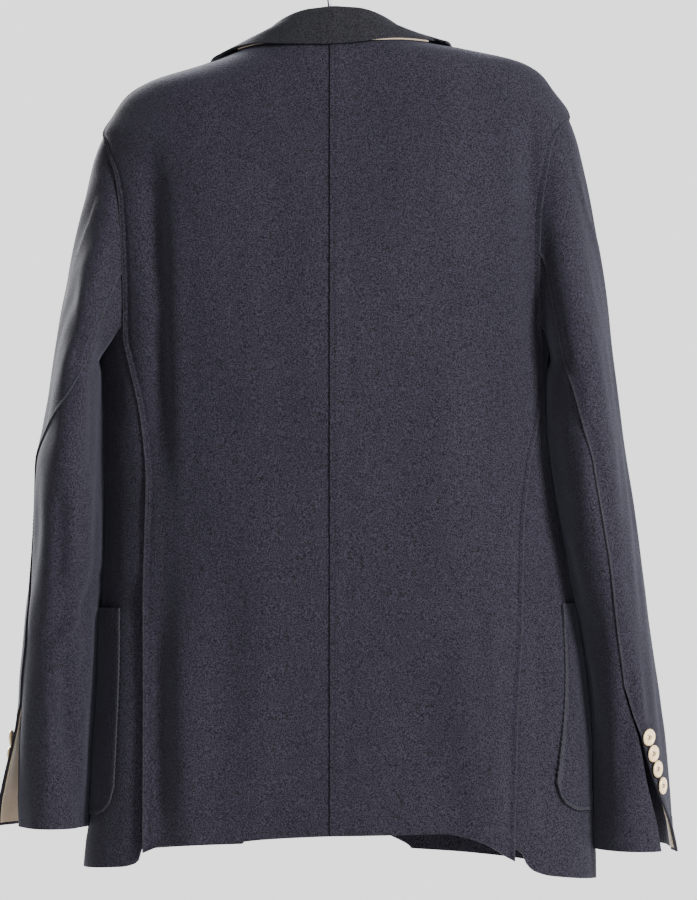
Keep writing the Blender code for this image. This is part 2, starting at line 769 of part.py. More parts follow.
def tube(name, points, radius, material, collection):
    """A round bar or wire along the points."""
    curve = bpy.data.curves.new(name, "CURVE")
    curve.dimensions = "3D"
    spline = curve.splines.new("POLY")
    spline.points.add(len(points) - 1)
    for slot, point in zip(spline.points, points):
        slot.co = (*(point * MM), 1.0)
    curve.bevel_depth = radius * MM
    curve.bevel_resolution = 2
    curve.use_fill_caps = True
    curve.materials.append(material)
    obj = bpy.data.objects.new(name, curve)
    collection.objects.link(obj)
    return obj


def shoulder_drop(side, across):
    """How far the shoulder line has dropped at a place across from the centre."""
    rows = [(half, drop) for drop, half in WIDTHS[side] if drop <= SHOULDER_TIP[side]]
    return column(rows, across)


def hanger_points():
    points = []
    for side in (LEFT, RIGHT):
        arm = []
        for t in spaced(10):
            across = mix(96.0, HANGER_REACH[side], t)
            drop = shoulder_drop(side, across) + HANGER_RADIUS + CLOTH / 2 + mix(7.0, 5.0, ease(t * 3))
            arm.append(Vector((side * across, 0.0, -drop)))
        points.append(arm)
    left, right = points
    middle = [Vector((-60.0, 0.0, -129.0)), Vector((-25.0, 0.0, -121.0)), Vector((0.0, 0.0, -119.0))]
    middle += [Vector((25.0, 0.0, -120.0)), Vector((60.0, 0.0, -124.5))]
    return left[::-1] + middle + right


def hook_points():
    centre = Vector((0.0, 0.0, -HOOK_RADIUS))
    path_radius = HOOK_RADIUS + HOOK_WIRE / 2
    points = [Vector((HOOK_STEM_X, 0.0, -119.0 + HANGER_RADIUS + 0.3)), Vector((HOOK_STEM_X, 0.0, -72.0))]
    points.append(Vector((HOOK_STEM_X - 1.5, 0.0, -58.0)))
    for degrees in range(250, -21, -18):
        turn = math.radians(degrees)
        points.append(centre + Vector((math.cos(turn), 0.0, math.sin(turn))) * path_radius)
    return points


def front_buttons(material, collection):
    for number, drop in enumerate(FRONT_BUTTON_DROPS, 1):
        base = body(LEFT, 180.0, drop, FRONT_OVERLAP + CLOTH / 2 + THREAD)
        facing = Vector((0, 1, 0))
        name = f"front_button_{number}"
        disc(name, base, facing, FRONT_BUTTON_DIAMETER, FRONT_BUTTON_THICKNESS, material, collection)


def cuff_buttons(side, sleeve, material, collection):
    """Four buttons in a row on the upper sleeve, beside its vent's edge."""
    name = "left" if side == LEFT else "right"
    for number, drop in enumerate(CUFF_BUTTON_DROPS[side], 1):
        above = [line for line in sleeve if -line[-2].z <= drop][-1]
        below = [line for line in sleeve if -line[-2].z > drop][0]
        share = (drop + above[-2].z) / (above[-2].z - below[-2].z)
        outer = BUTTON_COLUMN[side]
        edge = above[outer].lerp(below[outer], share)
        inner = above[outer - 1].lerp(below[outer - 1], share)
        down = (below[outer - 1] - above[outer - 1]).normalized()
        outward = (edge - inner).cross(down).normalized() * side
        facing = (outward + Vector((side * BUTTON_TURN[side], 0.0, 0.0))).normalized()
        place = edge.lerp(inner, BUTTON_REACH[side]) + facing * (CLOTH / 2 + CUFF_THREAD[side])
        title = f"cuff_button_{name}_{number}"
        disc(title, place, facing, BUTTON_DIAMETER, BUTTON_THICKNESS, material, collection)


def build():
    for obj in list(bpy.data.objects):
        bpy.data.objects.remove(obj, do_unlink=True)
    blazer = bpy.data.collections.new("blazer on a hanger")
    bpy.context.scene.collection.children.link(blazer)
    navy = new_material("navy felted cloth", NAVY, 0.9)
    tan = new_material("tan facing cloth", TAN, 0.85)
    cream = new_material("cream button", CREAM, 0.35)
    black = new_material("hanger", HANGER_BLACK, 0.4)
    steel = new_material("hook", STEEL, 0.25, 1.0)

    for side, word in ((LEFT, "left"), (RIGHT, "right")):
        cloth(f"back_{word}", back_panel(side), navy, blazer)
        cloth(f"side_{word}", side_panel(side), navy, blazer)
        cloth(f"front_{word}", front_panel(side), navy, blazer)
        cloth(f"lapel_{word}", lapel(side), navy, blazer)
        upper = upper_sleeve(side)
        cloth(f"upper_sleeve_{word}", upper, navy, blazer)
        cloth(f"under_sleeve_{word}", under_sleeve(side), navy, blazer)
        cloth(f"cuff_facing_{word}", cuff_facing(side, upper), tan, blazer, THIN_CLOTH)
        cloth(f"pocket_{word}", pocket(side), navy, blazer)
        cuff_buttons(side, upper, cream, blazer)
    cloth("collar", collar_rows(), navy, blazer, even=False)
    cloth("undercollar", undercollar_rows(), tan, blazer, THIN_CLOTH)
    front_buttons(cream, blazer)
    tube("hanger", hanger_points(), HANGER_RADIUS, black, blazer)
    tube("hook", hook_points(), HOOK_WIRE / 2, steel, blazer)


build()
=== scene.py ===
"""Dresses a blazer on a hanger in thin cloth with lapped raw seams, creases, stitches and dished buttons.

The frame is the CAD model's: the origin is the inner top of the hook, +X is the wearer's right, +Z is up and
the back faces -Y. Tables are in millimetres and degrees, and a drop is a distance below the origin.
"""

import math

import bpy
import numpy as np
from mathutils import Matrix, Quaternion, Vector


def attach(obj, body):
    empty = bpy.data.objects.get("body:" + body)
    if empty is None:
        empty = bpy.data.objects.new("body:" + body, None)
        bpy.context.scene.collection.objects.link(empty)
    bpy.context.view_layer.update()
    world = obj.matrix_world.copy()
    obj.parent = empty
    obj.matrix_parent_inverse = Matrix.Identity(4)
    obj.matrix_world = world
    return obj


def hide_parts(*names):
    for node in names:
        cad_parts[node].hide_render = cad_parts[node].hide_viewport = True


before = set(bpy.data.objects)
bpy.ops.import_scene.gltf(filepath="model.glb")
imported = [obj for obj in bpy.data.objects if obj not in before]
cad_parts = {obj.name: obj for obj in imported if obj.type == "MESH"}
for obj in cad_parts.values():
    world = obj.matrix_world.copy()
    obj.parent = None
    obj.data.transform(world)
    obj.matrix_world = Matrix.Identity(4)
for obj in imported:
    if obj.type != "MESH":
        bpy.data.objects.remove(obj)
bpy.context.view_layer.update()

# The photograph's frame on the garment, in metres.
VIEW_CENTRE_X = 0.0144
VIEW_CENTRE_Z = -0.4873
VIEW_HEIGHT = 0.837
VIEW_DISTANCE = 9.0
SENSOR = 36.0

MM = 0.001
CLOTH = 2.0
CENTRE_GAP = 0.5
SEAM_GAP = 1.0
SLEEVE_SEAM_GAP = {-1: 1.4, 1: 0.9}
LAP = CLOTH + 0.4
LEFT = -1
RIGHT = 1
SIDE_NAMES = {LEFT: "left", RIGHT: "right"}

# Half widths of the body at each drop, from the shoulder line down to the hem.
SHOULDER_TIP = {LEFT: 194.0, RIGHT: 178.0}
NECK_DROP = {LEFT: 108.5, RIGHT: 104.5}
NECK_BACK_DROP = 100.0
# Columns: drop, half width.
WIDTHS = {
    LEFT: (
        (108, 72), (112, 80), (121, 99), (133, 132), (146, 172), (153, 185), (161, 194), (176, 204),
        (194, 213), (230, 213), (312, 212), (350, 213), (405, 214), (466, 214.4), (530, 213.8),
        (571, 213.6), (610, 213.8), (650, 214.8), (700, 216.5), (760, 220), (820, 224.5), (845, 228),
        (890, 232),
    ),
    RIGHT: (
        (104, 72), (108, 84), (111, 98), (114, 118), (121, 152), (127, 175), (138, 193), (151, 203),
        (178, 219), (230, 216), (312, 210), (350, 205), (405, 198.5), (450, 198), (487, 201), (548, 209.5),
        (594, 217), (625, 221.5), (641, 224), (698, 232.5), (745, 236.5), (800, 238.5), (850, 241.5),
        (890, 242.5),
    ),
}

# How flat the body's section is across its middle.
FLATNESS = 2.4
# Half depths of the body, and how square its section is at the sides.
# Columns: drop, back depth, front depth, squareness.
BACK_DEPTH, FRONT_DEPTH, SQUARENESS = 1, 2, 3
DEPTHS = (
    (100, 38, 36, 2),
    (121, 46, 42, 1.75),
    (146, 54, 48, 1.85),
    (176, 62, 55, 2.05),
    (211, 70, 62, 2.25),
    (270, 79, 72, 2.5),
    (350, 86, 80, 2.6),
    (466, 84, 82, 2.6),
    (571, 80, 80, 2.5),
    (700, 84, 84, 2.5),
    (890, 92, 90, 2.5),
)

# The back panel's outer edge: the armhole, then the seam to the side panel.
# Columns: drop, place across.
BACK_EDGE = {
    LEFT: (
        (194, 213), (200, 211), (211, 208), (234, 201), (270, 197), (312, 195), (348, 194), (371, 194),
        (408, 187), (443, 179), (478, 174), (517, 171), (631, 174), (880, 174),
    ),
    RIGHT: (
        (178, 219), (185, 213), (201, 204), (229, 199), (275, 194), (330, 193), (371, 193),
        (437, 191), (466, 187), (492, 182), (525, 178), (559, 175), (660, 173), (710, 170), (880, 165),
    ),
}
SIDE_TOP = 371.0
SIDE_TOP_DIP = 16.0
SIDE_FRONT_ANGLE = 112.0
# Columns: fall from the shoulder tip, section angle.
FRONT_ARMHOLE = ((0, 90), (7, 97), (25, 106), (60, 117), (110, 122), (150, 119), (175, 114), (193, 112))

# The front's inner edge: the line where the lapel turns, the buttoned edge and the rounded corner.
# Columns: drop, place across.
FRONT_OVERLAP = 3.0
BUTTONED_EDGE = ((104, 74), (150, 63), (250, 38), (350, 12), (440, -13), (475, -19), (640, -19), (700, -15))
FRONT_EDGE = {
    LEFT: BUTTONED_EDGE + ((760, -4), (800, 14), (825, 33), (845, 56), (856, 84), (880, 96)),
    RIGHT: BUTTONED_EDGE + ((760, -5), (800, 10), (825, 27), (845, 45), (860, 72), (880, 84)),
}

# Hems, as drops at places across. The side panel's places are shares of its width.
# Columns: place across, drop.
BACK_HEM = {
    LEFT: ((0, 844), (42, 847), (80, 851), (120, 852.5), (147, 854), (180, 862)),
    RIGHT: ((0, 844), (42, 843), (84, 842), (102, 845), (126, 851), (149, 861), (175, 872)),
}
SIDE_HEM = {
    LEFT: ((0.0, 848), (0.115, 852), (0.15, 869), (0.25, 873.5), (0.5, 875), (1.0, 871)),
    RIGHT: ((0.0, 852), (0.115, 858), (0.15, 872), (0.19, 878), (0.27, 882), (0.5, 885), (1.0, 886)),
}
FRONT_HEM = {LEFT: (872, 861, 858), RIGHT: (886, 870, 862)}
VENT_TOP = 632.0
VENT_UNDERLAP = 20.0
VENT_DEPTH = 4.2

# Folds that end lower than this run on to the hem. The others fade out past their ends.
HEM_START = 840.0
FOLD_REACH = 0.15
FOLD_FADE = 0.4
# How soon the folds die out where the body's section turns to the side.
FOLD_TURN = 2.2
SLEEVE_FOLD_TURN = 2.0

# Soft folds that hang in the back and the fronts: each is a line with a half width and a depth inwards.
# Columns: top x, top drop, bottom x, bottom drop, half width, depth.
BACK_FOLDS = (
    (-171, 215, -161, 350, 16, 7),
    (-161, 350, -160, 520, 15, 6),
    (-158, 560, -158, 860, 16, 5),
    (-128, 620, -132, 860, 18, -4),
    (178, 190, 180, 420, 14, 6),
    (120, 640, 140, 870, 20, -5),
    (70, 300, 62, 640, 40, 2.5),
    (-70, 260, -62, 560, 42, 2.5),
)
FRONT_FOLDS = (
    (-150, 230, -140, 520, 22, 5),
    (150, 220, 142, 540, 24, 4.5),
    (-95, 600, -110, 860, 26, -4),
    (100, 620, 118, 860, 26, -4.5),
)

# Sleeves: the ring at each drop, and the angle of its back seam (0 faces -Y, 90 faces away from the body).
# Columns: drop, inner x, outer x, back y, front y, back seam's angle.
INNER, OUTER, BACK, FRONT, SEAM_ANGLE = 1, 2, 3, 4, 5
RINGS = {
    LEFT: (
        (404, 217, 259, -78, 84, -28),
        (436, 217.3, 264, -80, 84, 10),
        (466, 217.4, 268, -80, 84, 50),
        (500, 217.2, 275, -78, 82, 78),
        (554, 216.8, 278, -72, 80, 84),
        (610, 217.4, 282, -66, 78, 78),
        (634, 220.8, 285, -64, 77, 66),
        (668, 221.8, 288, -62, 76, 58),
        (706, 223.4, 292, -60, 74, 60),
        (770, 227.4, 294, -58, 70, 70),
        (850, 233, 292, -56, 66, 74),
    ),
    RIGHT: (
        (404, 202, 260, -78, 84, -38),
        (436, 201.5, 264, -80, 84, -16),
        (466, 202.5, 268, -80, 84, -6),
        (500, 206, 272, -78, 82, 2),
        (554, 213.6, 280, -72, 80, 3),
        (594, 221, 286, -67, 78, 3),
        (641, 231, 292, -64, 77, 0),
        (706, 240.3, 302, -61, 75, -3),
        (731, 242.5, 305, -60, 73, 4),
        (753, 243.8, 308, -59, 72, 12),
        (799, 245.4, 312, -58, 70, 23),
        (829, 246, 314, -57, 68, 33),
        (870, 246.5, 317, -56, 66, 44),
    ),
}
FRONT_SEAM_ANGLE = 200.0
RING_SQUARENESS = 2.1
CUFF_DROP = {LEFT: 836.0, RIGHT: 857.0}
CUFF_VENT = {LEFT: 722.0, RIGHT: 704.0}
CUFF_FLARE = {LEFT: 17.0, RIGHT: 11.0}
FLARE_POWER = {LEFT: 1.0, RIGHT: 2.0}
VENT_EDGE_SHARE = 0.78
VENT_START = 12.0
VENT_LIFT = 1.5
FACING_INSET = CLOTH / 2 + 0.9
FACING_SPREAD = 0.07
THIN_CLOTH = 1.0
SLEEVE_COLUMNS = 24
HIND_COLUMN = 7
FORE_COLUMN = 18
CAP_BULGE = {LEFT: 4.0, RIGHT: 4.5}
SLEEVE_FOLDS = {
    LEFT: (
        (-226, 590, -262, 668, 10, 7),
        (-250, 520, -252, 640, 9, 5),
        (-246, 668, -250, 780, 9, 5),
        (-234, 370, -244, 470, 8, 4),
    ),
    RIGHT: (
        (238, 470, 262, 600, 9, 4),
        (276, 660, 270, 800, 9, 3.5),
        (226, 400, 224, 520, 8, 3),
    ),
}

# Patch pockets, from their rear edge on the side panel to their front edge on the front.
POCKET_TOP = {LEFT: 634.0, RIGHT: 630.0}
POCKET_HEIGHT = 192.0
# The section angle of the rear edge at the top and at the bottom, and of the front edge.
POCKET_ANGLES = {LEFT: (63.8, 62.5, 139.0), RIGHT: (69.5, 57.0, 141.0)}
POCKET_ROOM = 0.5
POCKET_CORNER = 0.16

# The collar's sizes, and its stations from the centre back to its front end.
COLLAR_ROUND = 2.4
COLLAR_LIFT = 2.6
COLLAR_STEPS = 14
UNDERCOLLAR_STEPS = 6
UNDERCOLLAR_INSET = CLOTH / 2 + 1.1
# Columns: neckline x, y, drop; top fold x, y, drop; lower edge x, side of the ridge, drop.
COLLAR = {
    LEFT: (
        (0, -37.8, 98.4, 0, -36, 76, 0, -1, 112),
        (25, -35, 101.8, 25, -34, 79, 30, -1, 112.3),
        (46, -24, 105, 44, -27, 86, 60, -1, 112.5),
        (60, -14, 109, 56, -18, 94, 87, -1, 116.5),
        (63, 1, 114, 63, -2, 99, 103, 1, 123),
        (64, 16, 121, 65, 18, 108, 113, 1, 131),
        (63, 30, 138, 63, 36, 126, 112, 1, 154),
        (60, 42, 168, 57, 50, 160, 103, 1, 181),
    ),
    RIGHT: (
        (0, -37.8, 98.4, 0, -36, 76, 0, -1, 112),
        (25, -35, 100.2, 25, -34, 77.5, 30, -1, 110),
        (46, -24, 102.5, 45, -27, 84, 58, -1, 108),
        (61, -14, 106, 58, -18, 91.5, 88, -1, 109.5),
        (65, 1, 110, 66, -2, 96, 106, 1, 112.2),
        (66, 16, 117, 68, 18, 104, 112, 1, 121),
        (65, 30, 134, 65, 36, 122, 114, 1, 149),
        (60, 42, 166, 57, 50, 158, 103, 1, 178),
    ),
}

# Columns: drop, width, rise of its outer edge.
LAPEL_WIDTH, LAPEL_RISE = 1, 2
LAPEL = {
    LEFT: (
        (170, 44, -14), (200, 66, 4), (240, 66, 8), (300, 58, 8), (360, 45, 8), (420, 26, 5), (462, 9, 2),
    ),
    RIGHT: ((168, 44, -14), (198, 66, 4), (240, 66, 8), (300, 58, 8), (345, 50, 8), (382, 38, 6)),
}

BUTTON_THICKNESS = 3.0
FRONT_BUTTON_DIAMETER = 20.0
FRONT_BUTTON_THICKNESS = 4.0


# Creases, given one by one. A trough's height is below nothing.
# Columns: top x, top drop, bottom x, bottom drop, half width, height out.
BACK_CREASES = (
    (-166, 205, -158, 470, 9, -4),
    (-146, 240, -140, 560, 9, 2.2),
    (-140, 620, -138, 850, 10, 3),
    (-162, 640, -160, 850, 8, -3),
    (184, 170, 190, 400, 8, -3.6),
    (166, 190, 170, 470, 9, 2),
    (-78, 176, 82, 180, 10, -1.8),
    (-75, 244, 60, 238, 13, -1.6),
    (-60, 180, -20, 262, 16, 0.7),
    (146, 600, 152, 850, 10, 2.6),
    (-60, 430, -70, 830, 30, 1.6),
    (92, 420, 104, 820, 28, 1.8),
    (174, 619, 141, 626, 2.6, -1),
    (-158, 628, -136, 632, 2.6, -1),
    (60, 560, 66, 780, 22, -0.9),
    (-96, 480, -100, 800, 18, -0.8),
)
FRONT_CREASES = (
    (-120, 170, -60, 330, 14, 1.2),
    (125, 160, 70, 330, 14, 1.2),
    (-40, 470, -110, 620, 16, -1.3),
    (35, 480, 110, 640, 16, -1.3),
    (-60, 640, -70, 830, 18, 1.2),
    (52, 640, 64, 830, 18, 1.2),
)
SIDE_CREASES = {
    LEFT: (
        (-231, 405, -220, 440, 6, -2.5),
        (-221, 440, -218, 470, 6, -1.6),
        (-202, 408, -201, 465, 6, -2),
        (-210, 500, -206, 640, 9, -1.4),
        (-196, 560, -194, 840, 8, 1.2),
    ),
    RIGHT: (
        (198, 400, 200, 520, 7, -1.8),
        (206, 560, 214, 850, 9, 1.3),
        (190, 620, 196, 850, 7, -1.2),
    ),
}
SLEEVE_CREASES = {
    LEFT: (
        (-217, 596, -234, 645, 7, -3),
        (-234, 645, -250, 676, 7, -3),
        (-226, 586, -246, 640, 6, 1.8),
        (-252, 520, -256, 632, 7, -1.6),
        (-252, 676, -249, 780, 7, -2.2),
        (-264, 690, -264, 830, 6, 1.8),
        (-242, 330, -236, 420, 8, -2),
        (-226, 300, -238, 372, 6, 1.4),
        (-236, 480, -230, 560, 7, 1.5),
        (-268, 440, -272, 560, 6, 1.4),
        (-236, 700, -232, 820, 7, 1.3),
    ),
    RIGHT: (
        (205, 380, 222, 470, 7, -1.8),
        (214, 330, 228, 420, 7, 1.4),
        (232, 440, 250, 540, 7, -1.4),
        (262, 560, 270, 660, 7, 1.3),
        (278, 664, 286, 760, 6, 1.6),
        (246, 640, 250, 800, 8, -1.4),
        (226, 560, 240, 640, 7, 1.2),
        (288, 480, 296, 640, 8, 1.2),
    ),
}
CREASE_REACH = 0.1
CREASE_FADE = 0.35
SLEEVE_AXIS = {LEFT: (-246.0, 6.0, 0.0), RIGHT: (246.0, 6.0, 0.0)}
SLEEVE_TURN = 12.0
# How far the tan undercollar reaches below the fall, at places across.
UNDERCOLLAR_EDGE = (
    (-110, 1.2), (-98, 0.9), (-84, 0.4), (-76, -1.2), (30, -1.2), (42, 0.3), (60, 1), (100, 1.1),
)

# The cloth's unevenness: its height, its waves and each piece's seed.
WOBBLE = 0.45
SLEEVE_WOBBLE = 0.8
WAVES = 7
WAVE_LENGTHS = (45.0, 150.0)
WAVE_TILT = 0.45
BACK_SEED, SIDE_SEED, FRONT_SEED, SLEEVE_SEED = 11, 23, 31, 41

# Rows and columns of each piece's lattice.
BACK_CELLS = (170, 110)
SIDE_CELLS = (130, 56)
FRONT_CELLS = (150, 90)
LAPEL_CELLS = (90, 36)
POCKET_CELLS = (70, 60)
CAP_CELLS = 44
SLEEVE_CELLS = 150
UPPER_COLUMNS = 92
UNDER_COLUMNS = 76

# Seams, hems and edges.
BACK_LIMIT = 89.8
ARMHOLE_CLEAR = 2.3
SHARP_ANGLE = 40.0
EDGE_REACH = 6.0
BACK_EDGE_REACH = 7.0
HEM_LINE = 2.5
OVERLAP_DROP, OVERLAP_REACH = 330.0, 70.0
OVERLAP_ANGLE, OVERLAP_TURN = 158.0, 10.0
# The cells at each border of a lattice.
BORDERS = {"first": np.s_[:, 0], "last": np.s_[:, -1], "top": np.s_[0], "foot": np.s_[-1]}

# The sleeve's cap and cuff.
BULGE_END, BULGE_REACH = 380.0, 180.0
UNDERARM_START, UNDERARM_REACH = 300.0, 90.0
CUFF_TILT = 3.0
CUFF_TILT_DROP = 800.0
HEM_BAND = 28.0
CUFF_BAND = 30.0
HEM_STEP = 0.5
SIDE_LAP = 2.4
SHOULDER_LAP = 1.5
SIDE_TUCK = 2.0
CENTRE_LAP = 3.0
FACING_START = 3.0
FACING_COLUMNS = 15
FACING_SHORT = {LEFT: 1, RIGHT: 4}

# How far the sleeve leans in to touch the body, at each drop, and over what depth.
SLEEVE_LEAN = {
    LEFT: ((404, 2.6), (470, 2.8), (540, 2.8), (610, 3.4), (634, 3.4), (650, 2.2), (810, 2.4), (834, 4.2)),
    RIGHT: (
        (404, 3), (450, 4), (500, 4), (560, 3), (594, 3.6), (630, 3.6), (650, 2.6), (818, 3),
        (832, 4.8), (856, 4.8),
    ),
}
LEAN_DEPTH = 44.0
SIDE_LEAN = {LEFT: 0.8, RIGHT: 1.6}
UNDERARM_CLEAR = 3.0
EDGE_PROUD = 1.7
SEAM_TUCK = 1.4
TUCK_SHARE = 0.12
# Where the stitches that hold a vent's top start and end: place across and drop.
VENT_TACK = {LEFT: ((156.0, 629.0), (138.0, 632.0)), RIGHT: ((173.0, 619.0), (143.0, 625.0))}

STITCH = 2.4
STITCH_GAP = 1.1
STITCH_TURNS = 5
THREAD_RADIUS = 0.22
# Columns: share of a stitch's length, height and width there.
STITCH_RINGS = ((0.0, -0.25, 0.25), (0.22, 0.25, 1.0), (0.78, 0.25, 1.0), (1.0, -0.25, 0.25))

CUFF_BUTTON = 16.0
BUTTON_LEAN = 7.0
BUTTON_TURNS = 72
HOLE_REACH = 2.1
HOLE_RADIUS = 0.8
HOLE_DEPTH = 1.6
HOLE_THREAD = 0.28
# Columns: share of the way between two holes, height of the thread.
HOLE_THREAD_LINE = ((0.0, -0.7), (0.2, 0.05), (0.5, 0.2), (0.8, 0.05), (1.0, -0.7))
# Radius share and height share of the button's thickness, from the middle of its back round to its front.
BUTTON_PROFILE = (
    (0.05, -0.5), (0.70, -0.5), (0.93, -0.38), (1, -0.05), (0.99, 0.18), (0.93, 0.42), (0.86, 0.50),
    (0.78, 0.46), (0.70, 0.30), (0.60, 0.14), (0.50, 0.08), (0.42, 0.06), (0.36, 0.05), (0.30, 0.05),
    (0.25, 0.05), (0.20, 0.05), (0.14, 0.05), (0.07, 0.05), (0.01, 0.05),
)

GRAIN = 880.0
EDGE_GRAIN = 1500.0
THREAD_GRAIN = 2400.0
FELT_SHEEN = {
    "Specular IOR Level": 0.07,
    "Sheen Weight": 0.06,
    "Sheen Roughness": 0.45,
    "Sheen Tint": (0.45, 0.47, 0.62, 1.0),
}
WHITE = (1.0, 1.0, 1.0)
WORLD_LIGHT = 1.9
# Columns: name, place, what it faces, width and height, watts.
LIGHTS = (
    ("high_right", (2.3, -2.3, 0.9), (0, 0, -0.45), (0.7, 0.9), 800),
    ("front_key", (-1.6, 2.6, 0.9), (0, 0, -0.5), (1.2, 1.5), 480),
)
VIEW_PLANE = -0.02
FLOOR_Z = -1.35
FLOOR_REACH = 8.0
FLOOR_TONES = ((0.80, 0.80, 0.80), (0.86, 0.86, 0.86))


def column(table, at, number=1):
    """Reads a table's column at values of its first one, with a smooth curve that never overshoots."""
    rows = np.array(table, float)
    places, values = rows[:, 0], rows[:, number]
    at = np.clip(np.asarray(at, float), places[0], places[-1])
    steps = np.diff(places)
    slopes = np.diff(values) / steps
    tangents = np.zeros(len(places))
    tangents[0], tangents[-1] = slopes[0], slopes[-1]
    for i in range(1, len(places) - 1):
        if slopes[i - 1] * slopes[i] > 0:
            tangents[i] = 2 * slopes[i - 1] * slopes[i] / (slopes[i - 1] + slopes[i])
    i = np.clip(np.searchsorted(places, at, side="right") - 1, 0, len(steps) - 1)
    t = (at - places[i]) / steps[i]
    start = (1 + 2 * t) * (1 - t) ** 2 * values[i] + t * (1 - t) ** 2 * steps[i] * tangents[i]
    end = t * t * (3 - 2 * t) * values[i + 1] + t * t * (t - 1) * steps[i] * tangents[i + 1]
    return start + end


def ease(t):
    t = np.clip(t, 0.0, 1.0)
    return t * t * (3 - 2 * t)


def mix(a, b, t):
    return a + (b - a) * t


def unit(v):
    return v / np.maximum(np.linalg.norm(v, axis=-1, keepdims=True), 1e-9)


def stack(x, y, z):
    return np.stack(np.broadcast_arrays(x, y, z), axis=-1)


def bell(away, half_width, power=2):
    """A soft bell across a line: 1 on it, and nearly nothing at twice the half width."""
    return np.exp(-(away / half_width) ** power)


def facing(directions, places, axes=2):
    """The directions, each turned round where it points back along its place."""
    way = np.sum(directions[..., :axes] * places[..., :axes], axis=-1)
    return np.where((way < 0)[..., None], -directions, directions)


def fold_depth(folds, x, drop):
    """How far the folds press the cloth in at these places."""
    total = 0.0
    for x_top, drop_top, x_bottom, drop_bottom, half_width, depth in folds:
        along = (drop - drop_top) / (drop_bottom - drop_top)
        end = ease((along + FOLD_REACH) / FOLD_FADE)
        if drop_bottom <= HEM_START:
            end = end * ease((1 + FOLD_REACH - along) / FOLD_FADE)
        total = total + depth * end * bell(x - mix(x_top, x_bottom, along), half_width)
    return total


def body_bare(side, angle, drop):
    """Points of the body's section: angle 0 is the centre back, 90 the side, 180 the centre front."""
    angle, drop = np.broadcast_arrays(np.asarray(angle, float), np.asarray(drop, float))
    half = np.where(angle <= 180, column(WIDTHS[side], drop), column(WIDTHS[-side], drop))
    square = column(DEPTHS, drop, SQUARENESS)
    turn = np.radians(angle)
    sine, cosine = np.sin(turn), np.cos(turn)
    at_back = cosine > 0
    depth = np.where(at_back, column(DEPTHS, drop, BACK_DEPTH), column(DEPTHS, drop, FRONT_DEPTH))
    x = side * half * np.sign(sine) * np.abs(sine) ** (2 / FLATNESS)
    y = -depth * np.sign(cosine) * np.abs(cosine) ** (2 / square)
    folds = np.where(at_back, fold_depth(BACK_FOLDS, x, drop), fold_depth(FRONT_FOLDS, x, drop))
    y = y - np.sign(y) * folds * np.minimum(1.0, np.abs(cosine) * FOLD_TURN)
    return stack(x, y, -drop)


def body_normal(side, angle, drop):
    across = body_bare(side, angle + 1.0, drop) - body_bare(side, angle - 1.0, drop)
    down = body_bare(side, angle, drop + 3.0) - body_bare(side, angle, drop - 3.0)
    return facing(unit(np.cross(across, down)), body_bare(side, angle, drop))


def body(side, angle, drop, out=0.0):
    """Points of the body's surface, moved out along the surface's own direction."""
    place = body_bare(side, angle, drop)
    return place + body_normal(side, angle, drop) * np.asarray(out, float)[..., None]


def angle_at(side, across, drop, front=False):
    """The section angle of places this far across from the centre line, on the back or the front."""
    across, drop = np.broadcast_arrays(np.asarray(across, float), np.asarray(drop, float))
    other = (across < 0) if front else np.zeros(across.shape, bool)
    half = np.where(other, column(WIDTHS[-side], drop), column(WIDTHS[side], drop))
    angle = np.degrees(np.arcsin(np.minimum(np.abs(across) / half, 1.0) ** (FLATNESS / 2)))
    if not front:
        return angle
    return np.where(other, 180 + angle, 180 - angle)


def back_edge_angle(side, drop):
    edge = angle_at(side, column(BACK_EDGE[side], drop), drop)
    return np.where(np.asarray(drop) <= SHOULDER_TIP[side], 90.0, edge)


def front_outer_angle(side, drop):
    stretch = (SIDE_TOP - SHOULDER_TIP[side]) / FRONT_ARMHOLE[-1][0]
    table = [(fall * stretch, angle) for fall, angle in FRONT_ARMHOLE]
    return column(table, np.asarray(drop) - SHOULDER_TIP[side])


def front_inner_angle(side, drop):
    return angle_at(side, column(FRONT_EDGE[side], drop), drop, front=True)


def span(side, first, last, drop):
    """How far apart two section angles are at these drops."""
    return np.linalg.norm(body_bare(side, last, drop) - body_bare(side, first, drop), axis=-1)


def trimmed(side, angle, drop, gap):
    """The angles moved by a gap in millimetres along the section."""
    return angle + gap / span(side, angle - 0.5, angle + 0.5, drop)


def spaced(count, power=1.0):
    return np.linspace(0.0, 1.0, count + 1) ** power


def lattice(cells, power=1.0):
    """Shares down and across a piece at its cells' corners, with the rows closer towards the top."""
    rows, columns = cells
    return np.meshgrid(spaced(rows, power), spaced(columns), indexing="ij")


def wobble(x, drop, seed, size):
    """The cloth's soft unevenness: a few long waves that never line up, the same in each run."""
    waves = np.random.RandomState(seed)
    total = 0.0
    for _ in range(WAVES):
        length = waves.uniform(*WAVE_LENGTHS)
        tilt = waves.uniform(-WAVE_TILT, WAVE_TILT)
        phase = waves.uniform(0.0, 2 * math.pi)
        total = total + np.sin(2 * math.pi * (x + tilt * drop) / length + phase)
    return size * total / WAVES ** 0.5


def edge_lift(distance, reach, height):
    """A raw edge that stands a little proud over its last millimetres."""
    return height * ease((reach - distance) / reach)


def press(creases, x, drop):
    """Listed creases, as a distance out: each is a trough or a ridge that fades at both ends."""
    total = np.zeros(np.broadcast(x, drop).shape)
    for x_top, drop_top, x_bottom, drop_bottom, half_width, height in creases:
        reach_x, reach_drop = x_bottom - x_top, drop_bottom - drop_top
        length = math.hypot(reach_x, reach_drop)
        along = ((x - x_top) * reach_x + (drop - drop_top) * reach_drop) / length ** 2
        away = ((x - x_top) * reach_drop - (drop - drop_top) * reach_x) / length
        end = ease((along + CREASE_REACH) / CREASE_FADE) * ease((1 + CREASE_REACH - along) / CREASE_FADE)
        total = total + height * end * bell(away, half_width)
    return total


